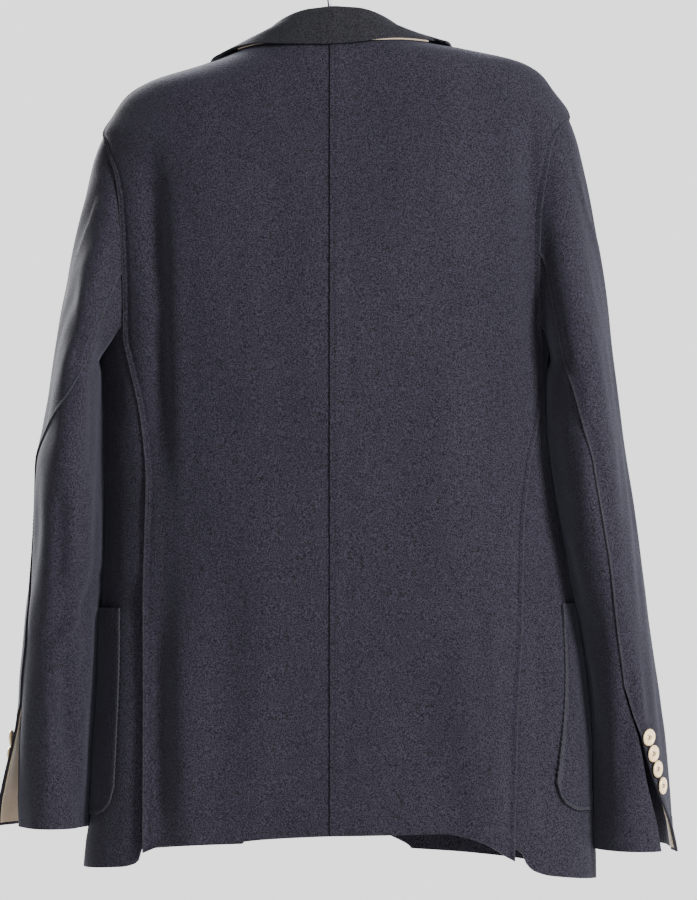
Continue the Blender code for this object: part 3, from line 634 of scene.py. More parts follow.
def detail(side, angle, drop, seed):
    """All the soft relief of the body's cloth at these places."""
    place = body_bare(side, angle, drop)
    x = place[..., 0]
    at_back = place[..., 1] < 0
    relief = np.where(at_back, press(BACK_CREASES, x, drop), press(FRONT_CREASES, x, drop))
    return relief + wobble(x, drop, seed, WOBBLE)


def hem_band(drop, start):
    """The turned hem's thickness, which ends in a faint line above the edge."""
    return HEM_STEP * ease((drop - start) / HEM_LINE)


def back_panel(side):
    t, s = lattice(BACK_CELLS, 1.25)
    bottom = column(BACK_HEM[side], BACK_EDGE[side][-1][1] * s)
    drop = mix(mix(NECK_BACK_DROP, NECK_DROP[side], s ** 0.6), bottom, t)
    below_tip = drop - SHOULDER_TIP[side]
    inner = angle_at(side, CENTRE_GAP / 2, drop)
    outer = np.minimum(back_edge_angle(side, drop), BACK_LIMIT)
    width = span(side, inner, outer, drop)
    lap = SIDE_LAP * ease((drop - SIDE_TOP) / 20.0) + SHOULDER_LAP * (1 - ease((below_tip + 6.0) / 8.0))
    outer = trimmed(side, outer, drop, lap - SEAM_GAP / 2)
    across = s ** 0.95
    angle = mix(inner, outer, across)
    from_centre = width * across
    from_edge = width - from_centre
    proud = mix(0.3, EDGE_PROUD, ease((below_tip + 20.0) / 30.0))
    out = detail(side, angle, drop, BACK_SEED) + hem_band(drop, bottom - HEM_BAND)
    out = out + edge_lift(from_edge, BACK_EDGE_REACH, proud) - 0.6 * bell(from_edge - 9.0, 3.0)
    if side == RIGHT:
        out = out + edge_lift(from_centre, EDGE_REACH, 1.0) - 0.3 * bell(from_centre - 8.0, 3.0)
    else:
        out = out - 0.6 * bell(from_centre, EDGE_REACH)
    points = body(side, angle, drop, out)
    ragged = 0.18 * np.sin(drop * 0.35) + 0.12 * np.sin(drop * 0.93 + 1.0)
    if side == RIGHT:
        points[:, 0, 0] -= CENTRE_LAP + ragged[:, 0]
    points[:, -1] += unit(points[:, -1] - points[:, -2]) * (0.6 * ragged[:, -1])[:, None]
    return points


def side_panel(side):
    """From the back seam to the front seam, with its rear edge carried on under the back at the vent."""
    t, s = lattice(SIDE_CELLS)
    bottom = column(SIDE_HEM[side], s)
    drop = mix(SIDE_TOP + SIDE_TOP_DIP * np.sin(math.pi * s) + 0.3, bottom, t)
    vent = ease((drop - VENT_TOP) / 14.0)
    inner = trimmed(side, back_edge_angle(side, drop), drop, SEAM_GAP / 2 - VENT_UNDERLAP * vent)
    outer = trimmed(side, SIDE_FRONT_ANGLE, drop, SIDE_TUCK)
    sunk = VENT_DEPTH * ease((drop - VENT_TOP + 40.0) / 40.0) * ease((0.42 - s) / 0.3)
    angle = mix(inner, outer, s)
    place = body_bare(side, angle, drop)
    out = press(SIDE_CREASES[side], place[..., 0], drop) + hem_band(drop, bottom - HEM_BAND)
    out = out + wobble(place[..., 0] + place[..., 1], drop, SIDE_SEED, WOBBLE)
    width = span(side, inner, outer, drop)
    out = out - 0.9 * bell(width * s, EDGE_REACH) - 1.2 * bell(width * (1 - s), 5.0)
    out = out + SIDE_LEAN[side] * bell(angle - 90.0, 16.0, 4) * ease((drop - SIDE_TOP - 12.0) / 12.0)
    return body(side, angle, drop, out - sunk)


def front_out(side, angle, drop):
    """The left front lies over the right one where they cross."""
    if side == RIGHT:
        return 0.0
    low = ease((drop - OVERLAP_DROP) / OVERLAP_REACH)
    return FRONT_OVERLAP * low * ease((angle - OVERLAP_ANGLE) / OVERLAP_TURN)


def front_panel(side):
    t, s = lattice(FRONT_CELLS, 1.35)
    t = mix(t, 1 - (1 - t) ** 1.6, t)
    bottom = column(tuple(zip((0.0, 0.5, 1.0), FRONT_HEM[side])), s)
    drop = mix(NECK_DROP[side] + mix(0.5, 12.0, s), bottom, t)
    outer = front_outer_angle(side, drop)
    outer = trimmed(side, outer + np.where(outer < 90.1, 0.2, 0.0), drop, SEAM_GAP / 2)
    inner = front_inner_angle(side, drop)
    angle = mix(outer, inner, s)
    width = span(side, outer, inner, drop)
    proud = mix(0.2, 1.4, ease((drop - SHOULDER_TIP[side] + 20.0) / 30.0))
    out = detail(side, angle, drop, FRONT_SEED) * ease(width * s / 12.0)
    out = out + edge_lift(width * s, EDGE_REACH, proud)
    out = out * ease(width * (1 - s) / 30.0 + 0.35)
    return body(side, angle, drop, out + front_out(side, angle, drop))


def lapel(side):
    """The facing that the turned lapel shows, laid on the front from its own points moved out."""
    table = LAPEL[side]
    t, s = lattice(LAPEL_CELLS)
    station = mix(table[0][0], table[-1][0], t)
    drop = station - column(table, station, LAPEL_RISE) * s
    across = column(FRONT_EDGE[side], station) + 1.0 + column(table, station, LAPEL_WIDTH) * s
    angle = angle_at(side, across, drop, front=True)
    roll = 2.6 * np.sin(math.pi * np.minimum(s + 0.12, 1.0))
    relief = 0.5 * np.sin(drop / 31.0 + side) * np.sin(math.pi * s)
    return body(side, angle, drop, LAP + 0.3 + roll + relief + front_out(side, angle, drop))


def collar_station(side, u):
    """The neckline, top fold and lower edge at a place from the centre back, 0, to the front end, 1."""
    table = [(i / (len(COLLAR[side]) - 1),) + row for i, row in enumerate(COLLAR[side])]
    neck_x, neck_y, neck_drop, fold_x, fold_y, fold_drop, edge_x, edge_side, edge_drop = (
        float(column(table, u, number)) for number in range(1, 10)
    )
    neck = Vector((side * neck_x, neck_y, -neck_drop))
    fold = Vector((side * fold_x, fold_y, -fold_drop))
    half = float(column(WIDTHS[side], edge_drop))
    angle = angle_at(side, min(edge_x, half), edge_drop, front=edge_side > -0.5)
    return neck, fold, Vector(body(side, angle, edge_drop, LAP + COLLAR_LIFT).tolist())


def section_depth(side, x, drop, front):
    """How deep the body is at a place across, or less than nothing outside its width."""
    half = float(column(WIDTHS[side], drop))
    if x >= half:
        return -1.0
    depth = float(column(DEPTHS, drop, FRONT_DEPTH if front else BACK_DEPTH))
    return depth * (1 - (x / half) ** FLATNESS) ** (1 / float(column(DEPTHS, drop, SQUARENESS)))


def clear_of_body(side, point, lift):
    """The point moved square out of the body where it would come closer to its surface than the lift."""
    front = point.y > 0
    x, y = abs(point.x), max(abs(point.y), 2.0)
    high, low = NECK_DROP[side], -point.z + 40.0
    if section_depth(side, x, high, front) >= y:
        return point
    for _ in range(16):
        middle = (high + low) / 2
        if section_depth(side, x, middle, front) < y:
            high = middle
        else:
            low = middle
    deep = section_depth(side, x, low + 1.0, front)
    drop_slope = deep - section_depth(side, x, low, front)
    x_slope = deep - section_depth(side, max(x - 1.0, 0.0), low + 1.0, front)
    outward = Vector((-x_slope, 1.0, drop_slope)).normalized()
    short = lift - (low + point.z) * outward.z
    if short <= 0:
        return point
    shift = outward * short
    return point + Vector((side * shift.x, shift.y if front else -shift.y, shift.z))


def collar_row(side, u):
    """The stand from the neckline up, the top fold, and the fall down to its lower edge on the back."""
    neck, fold, edge = collar_station(side, u)
    outward = Vector((edge.x - neck.x, edge.y - neck.y, 0.0))
    if outward.length < 1e-6:
        outward = Vector((0.0, -1.0, 0.0))
    outward.normalize()
    inside = neck.lerp(fold, 0.5) + outward * 0.5
    drop = Vector((0.0, 0.0, 1.0)) * COLLAR_ROUND
    top_in = fold - outward * COLLAR_ROUND - drop
    top_out = fold + outward * COLLAR_ROUND - drop
    bulge = Vector((outward.x, outward.y, 0.4)) * 2.0
    falls = [top_out.lerp(edge, share) + bulge * (1 - share) for share in (0.35, 0.7)]
    line = [neck, inside, top_in, fold, top_out] + falls + [edge]
    return line[:4] + [clear_of_body(side, point, LAP + COLLAR_LIFT) for point in line[4:]]


def collar_coarse():
    stations = [(LEFT, i / COLLAR_STEPS) for i in range(COLLAR_STEPS, 0, -1)]
    stations += [(RIGHT, i / COLLAR_STEPS) for i in range(COLLAR_STEPS + 1)]
    return np.array([[tuple(point) for point in collar_row(side, u)] for side, u in stations])


def refined(points, along, across):
    """A smooth finer lattice through every point of a coarse one."""
    for axis, times in ((0, along), (1, across)):
        points = np.moveaxis(points, axis, 0)
        count = len(points)
        places = np.linspace(0, count - 1, (count - 1) * times + 1)
        i = np.minimum(places.astype(int), count - 2)
        t = (places - i).reshape((-1,) + (1,) * (points.ndim - 1))
        before = points[np.maximum(i - 1, 0)]
        first, second = points[i], points[i + 1]
        after = points[np.minimum(i + 2, count - 1)]
        curve = 2 * first + (second - before) * t
        curve = curve + (2 * before - 5 * first + 4 * second - after) * t ** 2
        curve = curve + (3 * first - before - 3 * second + after) * t ** 3
        points = np.moveaxis(curve / 2, 0, axis)
    return points


def grid_normal(points):
    """Each point's direction square to its lattice."""
    return unit(np.cross(np.gradient(points, axis=0), np.gradient(points, axis=1)))


def run_lengths(line):
    """The length of a line up to each of its points."""
    return np.concatenate([[0.0], np.cumsum(np.linalg.norm(np.diff(line, axis=0), axis=-1))])


def at_lengths(places, lengths, values):
    """A line's values at places along it."""
    return np.stack([np.interp(places, lengths, values[:, axis]) for axis in range(3)], axis=-1)


def armhole_loop(side, places):
    """The armhole at shares of its length, from the shoulder tip down the back and up the front."""
    down = mix(SHOULDER_TIP[side], SIDE_TOP, spaced(80))
    s = spaced(40)[1:]
    under_drop = SIDE_TOP + SIDE_TOP_DIP * np.sin(math.pi * s)
    under = body(side, mix(back_edge_angle(side, SIDE_TOP), SIDE_FRONT_ANGLE, s), under_drop)
    up = down[-2::-1]
    back = body(side, back_edge_angle(side, down), down)
    line = np.concatenate([back, under, body(side, front_outer_angle(side, up), up)])
    lengths = run_lengths(line)
    return at_lengths(places * lengths[-1], lengths, line)


def ring_point(side, drop, angle):
    """Points of the sleeve's ring at these drops, with the sleeve's folds."""
    sizes = (column(RINGS[side], drop, number) for number in (INNER, OUTER, BACK, FRONT))
    inner, outer, back, front = sizes
    turn = np.radians(angle)
    sine, cosine = np.sin(turn), np.cos(turn)
    power = 2 / RING_SQUARENESS
    x = (inner + outer) / 2 + (outer - inner) / 2 * np.sign(sine) * np.abs(sine) ** power
    y = (back + front) / 2 - (front - back) / 2 * np.sign(cosine) * np.abs(cosine) ** power
    folds = fold_depth(SLEEVE_FOLDS[side], side * x, drop)
    folds = folds * np.minimum(1.0, np.abs(cosine) * SLEEVE_FOLD_TURN)
    y = y + np.where(cosine > 0, folds, 0.0)
    return stack(side * x, y, -drop)


def column_angle(side, drop, k):
    """The ring angle of a lengthwise column: the back seam and the front seam each stay on one column."""
    seam = column(RINGS[side], drop, SEAM_ANGLE)
    k = np.where(k < HIND_COLUMN + 1e-6, k + SLEEVE_COLUMNS, k)
    outer_share = (HIND_COLUMN + SLEEVE_COLUMNS - k) / (HIND_COLUMN + SLEEVE_COLUMNS - FORE_COLUMN)
    inner_share = (k - HIND_COLUMN) / (FORE_COLUMN - HIND_COLUMN)
    outer = mix(seam, FRONT_SEAM_ANGLE, outer_share)
    inner = mix(seam, FRONT_SEAM_ANGLE - 360, inner_share)
    return np.where(k >= FORE_COLUMN, outer, inner)


def sleeve(side, columns):
    """The cap from the armhole down, then the sleeve to its cuff, on the lengthwise columns given."""
    first = RINGS[side][0][0]
    start = armhole_loop(side, (columns % SLEEVE_COLUMNS) / SLEEVE_COLUMNS)
    high = ease((BULGE_END + start[:, 2]) / BULGE_REACH)
    tuck = start.copy()
    under = ease((-start[:, 2] - UNDERARM_START) / UNDERARM_REACH)
    start[:, 0] += side * mix(ARMHOLE_CLEAR, UNDERARM_CLEAR, under)
    end = ring_point(side, first, column_angle(side, first, columns))
    t = spaced(CAP_CELLS)[:-1, None]
    cap = mix(start, end, t[..., None])
    cap[..., 1] = mix(start[:, 1], end[:, 1], np.sin(t * math.pi / 2))
    cap[..., 0] += side * CAP_BULGE[side] * 4 * t * (1 - t) * high
    tuck[:, 0] -= side * SEAM_TUCK
    tuck[:, 1] *= 0.985
    cap = mix(cap, tuck, (ease(1 - t / TUCK_SHARE) * ease((tuck[:, 2] + 400.0) / 40.0))[..., None])
    cuff_turn = np.radians(column_angle(side, CUFF_TILT_DROP, columns))
    bottom = CUFF_DROP[side] + CUFF_TILT * np.cos(cuff_turn)
    drop = mix(first, bottom, spaced(SLEEVE_CELLS)[:, None])
    low = ring_point(side, drop, column_angle(side, drop, columns))
    centre = (column(RINGS[side], drop, INNER) + column(RINGS[side], drop, OUTER)) / 2
    inward = ease((centre - side * low[..., 0]) / 20.0) * bell(low[..., 1] - 4.0, LEAN_DEPTH, 4)
    low[..., 0] -= side * inward * column(SLEEVE_LEAN[side], drop) * ease((drop - first) / 12.0)
    return np.concatenate([cap, low])


def sleeve_part(side, first, last, count):
    """The sleeve between two columns with its relief, and its outward directions, widths and shares."""
    columns = np.linspace(first, last, count)
    points = sleeve(side, columns)
    outward = facing(grid_normal(points), points - SLEEVE_AXIS[side])
    x, y, drop = points[..., 0], points[..., 1], -points[..., 2]
    creases = press(SLEEVE_CREASES[side], x, drop)
    before = press(SLEEVE_CREASES[side], x, drop + 6.0) * 0.7
    relief = mix(before, creases, ease((SLEEVE_TURN - y) / SLEEVE_TURN))
    relief = relief + wobble(x + y * 1.7, drop, SLEEVE_SEED, SLEEVE_WOBBLE) * ease((drop - 200.0) / 60.0)
    points = points + outward * (relief + hem_band(drop, CUFF_DROP[side] - CUFF_BAND))[..., None]
    width = np.linalg.norm(np.diff(points, axis=1), axis=-1).sum(axis=1)[:, None]
    return points, outward, width, (columns - first) / (last - first)


def seam_trim(points, gap):
    """The piece's two long edges, each moved in by a gap."""
    first = unit(points[:, 1] - points[:, 0]) * gap
    last = unit(points[:, -2] - points[:, -1]) * gap
    points[:, 0] += first
    points[:, -1] += last
    return points


def flare_share(side, drop):
    """How much of the cuff's flare the vent's edge has at these drops."""
    return ease((drop - CUFF_VENT[side]) / (CUFF_DROP[side] - CUFF_VENT[side])) ** FLARE_POWER[side]


def upper_sleeve(side):
    """The outer part, from the front seam over the top to the back seam and the vent's edge."""
    last = SLEEVE_COLUMNS + HIND_COLUMN
    points, outward, width, share = sleeve_part(side, FORE_COLUMN, last, UPPER_COLUMNS)
    drop = -points[..., 2]
    lift = edge_lift(width * (1 - share), EDGE_REACH, 1.2) + edge_lift(width * share, EDGE_REACH, 0.7)
    points = seam_trim(points + outward * lift[..., None], SLEEVE_SEAM_GAP[side] / 2 - 0.6)
    edge = ease((share - VENT_EDGE_SHARE) / (1 - VENT_EDGE_SHARE))
    start = ease((drop - CUFF_VENT[side]) / VENT_START)
    points[..., 0] += side * edge * (CUFF_FLARE[side] * flare_share(side, drop) + VENT_LIFT * start)
    return points


def under_sleeve(side):
    """The inner part, from the back seam round beside the body to the front seam."""
    points, outward, width, share = sleeve_part(side, HIND_COLUMN, FORE_COLUMN, UNDER_COLUMNS)
    dip = -0.8 * (bell(width * share, EDGE_REACH) + bell(width * (1 - share), EDGE_REACH))
    return seam_trim(points + outward * dip[..., None], SLEEVE_SEAM_GAP[side] / 2)


def cuff_facing(side, upper):
    """The tan strip behind the vent's edge, made from the upper sleeve's points moved in."""
    rows = -upper[:, -1, 2] > CUFF_VENT[side] + FACING_START
    strip = upper[rows][:, -FACING_COLUMNS:]
    tangent = np.gradient(strip, axis=1)
    inward = side * unit(stack(tangent[..., 1], -tangent[..., 0], 0.0 * tangent[..., 0]))
    depth = FACING_INSET + FACING_SPREAD * CUFF_FLARE[side] * flare_share(side, -strip[..., 2])
    return (strip + inward * depth[..., None])[:-1, :-FACING_SHORT[side]]


def pocket_place(side, t, s):
    rear_top, rear_low, end = POCKET_ANGLES[side]
    corner = np.maximum(0.0, 1 - np.minimum(s, 1 - s) / POCKET_CORNER)
    round_up = 26.0 * (1 - np.sqrt(np.maximum(0.0, 1 - corner ** 2)))
    drop = mix(POCKET_TOP[side], POCKET_TOP[side] + POCKET_HEIGHT - round_up, t)
    out = LAP + 0.4 + POCKET_ROOM * np.sin(math.pi * s) * (1 - t)
    return mix(mix(rear_top, rear_low, t), end, s), drop, out


def pocket(side):
    """A patch on the side panel and the front, with round lower corners and a ragged raw edge."""
    t, s = lattice(POCKET_CELLS)
    angle, drop, out = pocket_place(side, t, s)
    rim = np.minimum(np.minimum(s, 1 - s) * 130.0, (1 - t) * 190.0)
    relief = 0.5 * np.sin(drop / 17.0 + 3 * s) * ease(rim / 20.0) - 0.55 * bell(rim - 5.0, 2.0)
    top = 0.7 * ease((POCKET_TOP[side] + 24.0 - drop) / 3.0)
    ragged = 0.25 * np.sin(drop * 1.1) * (rim < 1.0)
    return body(side, angle + ragged, drop, out + relief + top)


def link(name, mesh, materials):
    """An object with its materials, linked into the scene and smooth."""
    mesh.shade_smooth()
    for material in materials:
        mesh.materials.append(material)
    obj = bpy.data.objects.new(name, mesh)
    bpy.context.scene.collection.objects.link(obj)
    return obj


def settled(obj):
    """Applies the modifiers and keeps the cut edges crisp."""
    graph = bpy.context.evaluated_depsgraph_get()
    mesh = bpy.data.meshes.new_from_object(obj.evaluated_get(graph))
    obj.modifiers.clear()
    obj.data = mesh
    mesh.set_sharp_from_angle(angle=math.radians(SHARP_ANGLE))


def cloth(name, points, materials, slot, rests_on, raw="", thickness=CLOTH, with_pieces=()):
    """A thin shell of cloth on a lattice of points. Its rim and raw borders have the second material."""
    rows, columns = points.shape[:2]
    index = np.arange(rows * columns).reshape(rows, columns)
    corners = [index[:-1, :-1], index[:-1, 1:], index[1:, 1:], index[1:, :-1]]
    faces = np.stack(corners, axis=-1).reshape(-1, 4)
    mesh = bpy.data.meshes.new(name)
    mesh.from_pydata((points * MM).reshape(-1, 3).tolist(), [], faces.tolist())
    border = np.zeros((rows - 1, columns - 1), int)
    for edge in raw.split():
        border[BORDERS[edge]] = 1
    obj = link(name, mesh, materials)
    mesh.polygons.foreach_set("material_index", border.ravel())
    wall = obj.modifiers.new("cloth thickness", "SOLIDIFY")
    wall.thickness = thickness * MM
    wall.offset = 0.0
    wall.material_offset_rim = 1
    settled(obj)
    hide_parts(name.replace("cloth_", ""))
    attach(obj, "root")


def loop(centre, across, up, radius, turns):
    """A round of points about a centre, in metres."""
    a = np.linspace(0.0, 2 * math.pi, turns, endpoint=False)[:, None]
    return ((centre + (across * np.cos(a) + up * np.sin(a)) * radius) * MM).tolist()


def add_tube(verts, faces, rings):
    """Adds the skin through rounds of points, with a cap at each end."""
    base, turns = len(verts), len(rings[0])
    last = base + (len(rings) - 1) * turns
    for start, ring in enumerate(rings):
        verts.extend(ring)
        for turn in range(turns if start < len(rings) - 1 else 0):
            a, b = (base + start * turns + (turn + step) % turns for step in (0, 1))
            faces.append((a, b, b + turns, a + turns))
    faces.append(tuple(base + i for i in range(turns - 1, -1, -1)))
    faces.append(tuple(last + i for i in range(turns)))


def stitches(name, lines):
    """Rows of separate stitches, each a short bent thread with pointed ends, along lines of points."""
    verts, faces = [], []
    shares, heights, widths = np.array(STITCH_RINGS).T
    pitch = STITCH + STITCH_GAP
    for line, normals in lines:
        lengths = run_lengths(line)
        for start in np.arange(max(int(lengths[-1] / pitch), 1)) * pitch + STITCH_GAP / 2:
            centres = at_lengths(start + STITCH * shares, lengths, line)
            normal = unit(at_lengths(start, lengths, normals))
            across = unit(np.cross(centres[-1] - centres[0], normal))
            centres = centres + normal * heights[:, None] * THREAD_RADIUS * 2
            add_tube(verts, faces, [
                loop(centre, across, normal, THREAD_RADIUS * wide, STITCH_TURNS)
                for centre, wide in zip(centres, widths)
            ])
    mesh = bpy.data.meshes.new(name)
    mesh.from_pydata(verts, [], faces)
    obj = link(name, mesh, [THREAD_NAVY])
    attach(obj, "root")
    return obj


def body_line(side, angle, drop, out):
    """A line on the body's cloth with its outward directions, for sewing."""
    return body(side, angle, drop, out), body_normal(side, angle, drop)


def back_sewing(side):
    """Rows of stitches in a back: armhole, side seam, vent top and, on the right one, the centre back."""
    arm = np.linspace(SHOULDER_TIP[side] + 6, SIDE_TOP - 4, 120)
    seam = np.linspace(SIDE_TOP + 4, VENT_TOP, 160)
    (x_out, drop_out), (x_in, drop_in) = VENT_TACK[side]
    tack = np.linspace(drop_out, drop_in, 20)
    rows = []
    for drop, reach in ((arm, -4.5), (seam, SIDE_LAP - 4.5)):
        edge = np.minimum(back_edge_angle(side, drop), BACK_LIMIT)
        rows.append((trimmed(side, edge, drop, reach), drop, 0.9))
    if side == RIGHT:
        drop = np.linspace(NECK_BACK_DROP + 10, BACK_HEM[side][0][1] - 3, 300)
        rows.append((angle_at(side, 2.2, drop), drop, 1.0))
    rows.append((angle_at(side, np.linspace(x_out, x_in, 20), tack), tack, 0.1))
    return stitches("stitches_back_" + SIDE_NAMES[side], [
        body_line(side, angle, drop, CLOTH / 2 + lift + detail(side, angle, drop, BACK_SEED))
        for angle, drop, lift in rows
    ])


def pocket_sewing(side):
    """Stitches just inside the pocket's raw edge and under its top hem."""
    inset, low, hem = 0.033, 0.975, 0.125
    down = np.linspace(0.01, low, 80)
    t = np.concatenate([down, np.full(90, low), down[::-1]])
    s = np.concatenate([np.full(80, inset), np.linspace(inset, 1 - inset, 90), np.full(80, 1 - inset)])
    lines = []
    for t_line, s_line in ((t, s), (np.full(70, hem), np.linspace(inset, 1 - inset, 70))):
        angle, drop, out = pocket_place(side, t_line, s_line)
        lines.append(body_line(side, angle, drop, out + CLOTH / 2 - 0.1))
    return stitches("stitches_pocket_" + SIDE_NAMES[side], lines)


def sleeve_sewing(side, upper):
    """Stitches in the upper sleeve beside its back seam, down to the vent."""
    line = upper[:, -3]
    keep = -line[:, 2] < CUFF_VENT[side]
    normals = facing(grid_normal(upper)[:, -3], line - upper.mean(axis=1), 3)
    lines = [((line + normals * (CLOTH / 2 + 0.05))[keep], normals[keep])]
    return stitches("stitches_sleeve_" + SIDE_NAMES[side], lines)


def front_sewing(side):
    """Stitches along the front's armhole, its buttoned edge and its rounded corner."""
    arm = np.linspace(SHOULDER_TIP[side] + 8, SIDE_TOP - 6, 110)
    edge = np.linspace(474.0, FRONT_HEM[side][2] - 6, 220)
    lines = []
    armhole = (arm, front_outer_angle(side, arm), 5.0)
    for drop, angle, reach in (armhole, (edge, front_inner_angle(side, edge), -5.0)):
        angle = trimmed(side, angle, drop, reach)
        out = CLOTH / 2 + 0.2 + detail(side, angle, drop, FRONT_SEED) * 0.4 + front_out(side, angle, drop)
        lines.append(body_line(side, angle, drop, out))
    return stitches("stitches_front_" + SIDE_NAMES[side], lines)


def disc_place(node):
    """The centre of a plain disc and its axis, towards its narrower face."""
    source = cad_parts[node]
    places = np.array([tuple(source.matrix_world @ v.co) for v in source.data.vertices])
    centre = places.mean(axis=0)
    axis = np.linalg.svd(places - centre)[2][2]
    high = (places - centre) @ axis
    radius = np.linalg.norm(places - centre - high[:, None] * axis, axis=-1)
    if radius[high > 0].mean() > radius[high < 0].mean():
        axis = -axis
    return Vector(centre.tolist()), Vector(axis.tolist())


def button(node, diameter, thickness, tilt):
    """A dished button with a rim, four holes and its thread, where the plain disc is."""
    centre, axis = disc_place(node)
    verts, faces, rings = [], [], []
    a = np.linspace(0.0, 2 * math.pi, BUTTON_TURNS, endpoint=False)
    holes = math.pi * (np.arange(4) / 2 + 0.25)
    for share, height in BUTTON_PROFILE:
        x, y = np.cos(a) * share * diameter / 2, np.sin(a) * share * diameter / 2
        away = np.hypot(x[:, None] - HOLE_REACH * np.cos(holes), y[:, None] - HOLE_REACH * np.sin(holes))
        sunk = HOLE_DEPTH * ease((HOLE_RADIUS * 1.35 - away) / (HOLE_RADIUS * 0.7)).sum(axis=1)
        rings.append((stack(x, y, height * thickness - sunk * (height > 0)) * MM).tolist())
    add_tube(verts, faces, rings)
    disc = len(verts)
    up = np.array((0.0, 0.0, 1.0))
    for hole in holes:
        turns = (hole, hole + math.pi / 2)
        start, end = (HOLE_REACH * np.array((math.cos(v), math.sin(v), 0.0)) for v in turns)
        across = np.cross(unit(end - start), up)
        add_tube(verts, faces, [
            loop(mix(start, end, share) + up * (thickness * 0.42 + lift), across, up, HOLE_THREAD, 6)
            for share, lift in HOLE_THREAD_LINE
        ])
    mesh = bpy.data.meshes.new("dished_" + node)
    mesh.from_pydata(verts, [], faces)
    obj = link(mesh.name, mesh, (CREAM, THREAD_NAVY))
    mesh.polygons.foreach_set("material_index", [int(face[0] >= disc) for face in faces])
    obj.rotation_mode = "QUATERNION"
    lean = Quaternion((1.0, 0.0, 0.0), math.radians(tilt))
    obj.rotation_quaternion = axis.to_track_quat("Z", "Y") @ lean
    obj.location = centre
    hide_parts(node)
    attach(obj, "root")


def new_material(name):
    """A material with its tree, its shader and the object's places, at which its patterns are read."""
    material = bpy.data.materials.new(name)
    material.use_nodes = True
    tree = material.node_tree
    places = tree.nodes.new("ShaderNodeTexCoord").outputs["Object"]
    return material, tree, tree.nodes["Principled BSDF"], places


def set_inputs(node, values):
    for name, value in values.items():
        node.inputs[name].default_value = value


def noise(tree, places, scale, detail=3.0, stretch=None):
    """Noise of this many periods a metre, optionally stretched along an axis."""
    if stretch:
        mapping = tree.nodes.new("ShaderNodeMapping")
        mapping.inputs["Scale"].default_value = stretch
        tree.links.new(places, mapping.inputs["Vector"])
        places = mapping.outputs["Vector"]
    node = tree.nodes.new("ShaderNodeTexNoise")
    set_inputs(node, {"Scale": scale, "Detail": detail})
    tree.links.new(places, node.inputs["Vector"])
    return node.outputs["Fac"]


def ramp(tree, value, *stops):
    """A colour at each of two places along a value."""
    node = tree.nodes.new("ShaderNodeValToRGB")
    for element, (place, colour) in zip(node.color_ramp.elements, stops):
        element.position = place
        element.color = (*colour, 1.0)
    tree.links.new(value, node.inputs["Fac"])
    return node.outputs["Color"]


def blend(tree, kind, first, second, share=1.0):
    """Two colours mixed by a share."""
    node = tree.nodes.new("ShaderNodeMix")
    node.data_type = "RGBA"
    node.blend_type = kind
    node.inputs[0].default_value = share
    sockets = [socket for socket in node.inputs if socket.type == "RGBA"]
    tree.links.new(first, sockets[0])
    tree.links.new(second, sockets[1])
    return [socket for socket in node.outputs if socket.type == "RGBA"][0]


def bump(tree, shader, height, distance, strength, under=None):
    node = tree.nodes.new("ShaderNodeBump")
    set_inputs(node, {"Distance": distance, "Strength": strength})
    tree.links.new(height, node.inputs["Height"])
    if under:
        tree.links.new(under, node.inputs["Normal"])
    tree.links.new(node.outputs["Normal"], shader.inputs["Normal"])
    return node.outputs["Normal"]


def gloss(tree, shader, value, low, high):
    """Roughness that follows a value between two limits."""
    node = tree.nodes.new("ShaderNodeMapRange")
    set_inputs(node, {"To Min": low, "To Max": high})
    tree.links.new(value, node.inputs["Value"])
    tree.links.new(node.outputs["Result"], shader.inputs["Roughness"])


def felted_cloth(name, dark, light, fade, grain=GRAIN):
    """Felted jersey: a mottled nap of fine fibres with flecks and slow changes of shade."""
    material, tree, shader, places = new_material(name)
    nap = noise(tree, places, grain, 4.0)
    flecks = noise(tree, places, grain * 1.9, 1.0, (1.0, 1.0, 0.8))
    shade = noise(tree, places, 7.0, 3.0, (1.6, 1.6, 0.6))
    colour = ramp(tree, nap, (0.38, dark), (0.62, light))
    fleck = ramp(tree, flecks, (0.34, (0.72, 0.72, 0.74)), (0.66, (1.28, 1.26, 1.24)))
    slow = ramp(tree, shade, (0.33, fade), (0.68, WHITE))
    colour = blend(tree, "MULTIPLY", blend(tree, "MULTIPLY", colour, fleck), slow)
    tree.links.new(colour, shader.inputs["Base Color"])
    gloss(tree, shader, flecks, 0.82, 0.98)
    set_inputs(shader, FELT_SHEEN)
    bump(tree, shader, nap, 0.0010, 0.45, bump(tree, shader, flecks, 0.0006, 0.35))
    return material


def twill_cloth(name, dark, light):
    """Tan facing: fine slanted ribs with a little nap."""
    material, tree, shader, places = new_material(name)
    ribs = tree.nodes.new("ShaderNodeTexWave")
    ribs.bands_direction = "DIAGONAL"
    set_inputs(ribs, {"Scale": 260.0, "Distortion": 1.2})
    tree.links.new(places, ribs.inputs["Vector"])
    nap = noise(tree, places, 900.0, 3.0)
    fibres = ramp(tree, nap, (0.3, dark), (0.7, light))
    weave = ramp(tree, ribs.outputs["Fac"], (0.2, dark), (0.8, light))
    slow = ramp(tree, noise(tree, places, 25.0), (0.35, (0.86, 0.84, 0.82)), (0.65, WHITE))
    colour = blend(tree, "MULTIPLY", blend(tree, "MIX", fibres, weave, 0.5), slow)
    tree.links.new(colour, shader.inputs["Base Color"])
    set_inputs(shader, {"Roughness": 0.88, "Specular IOR Level": 0.25, "Sheen Weight": 0.2})
    bump(tree, shader, nap, 0.0004, 0.3, bump(tree, shader, ribs.outputs["Fac"], 0.0003, 0.4))
    return material


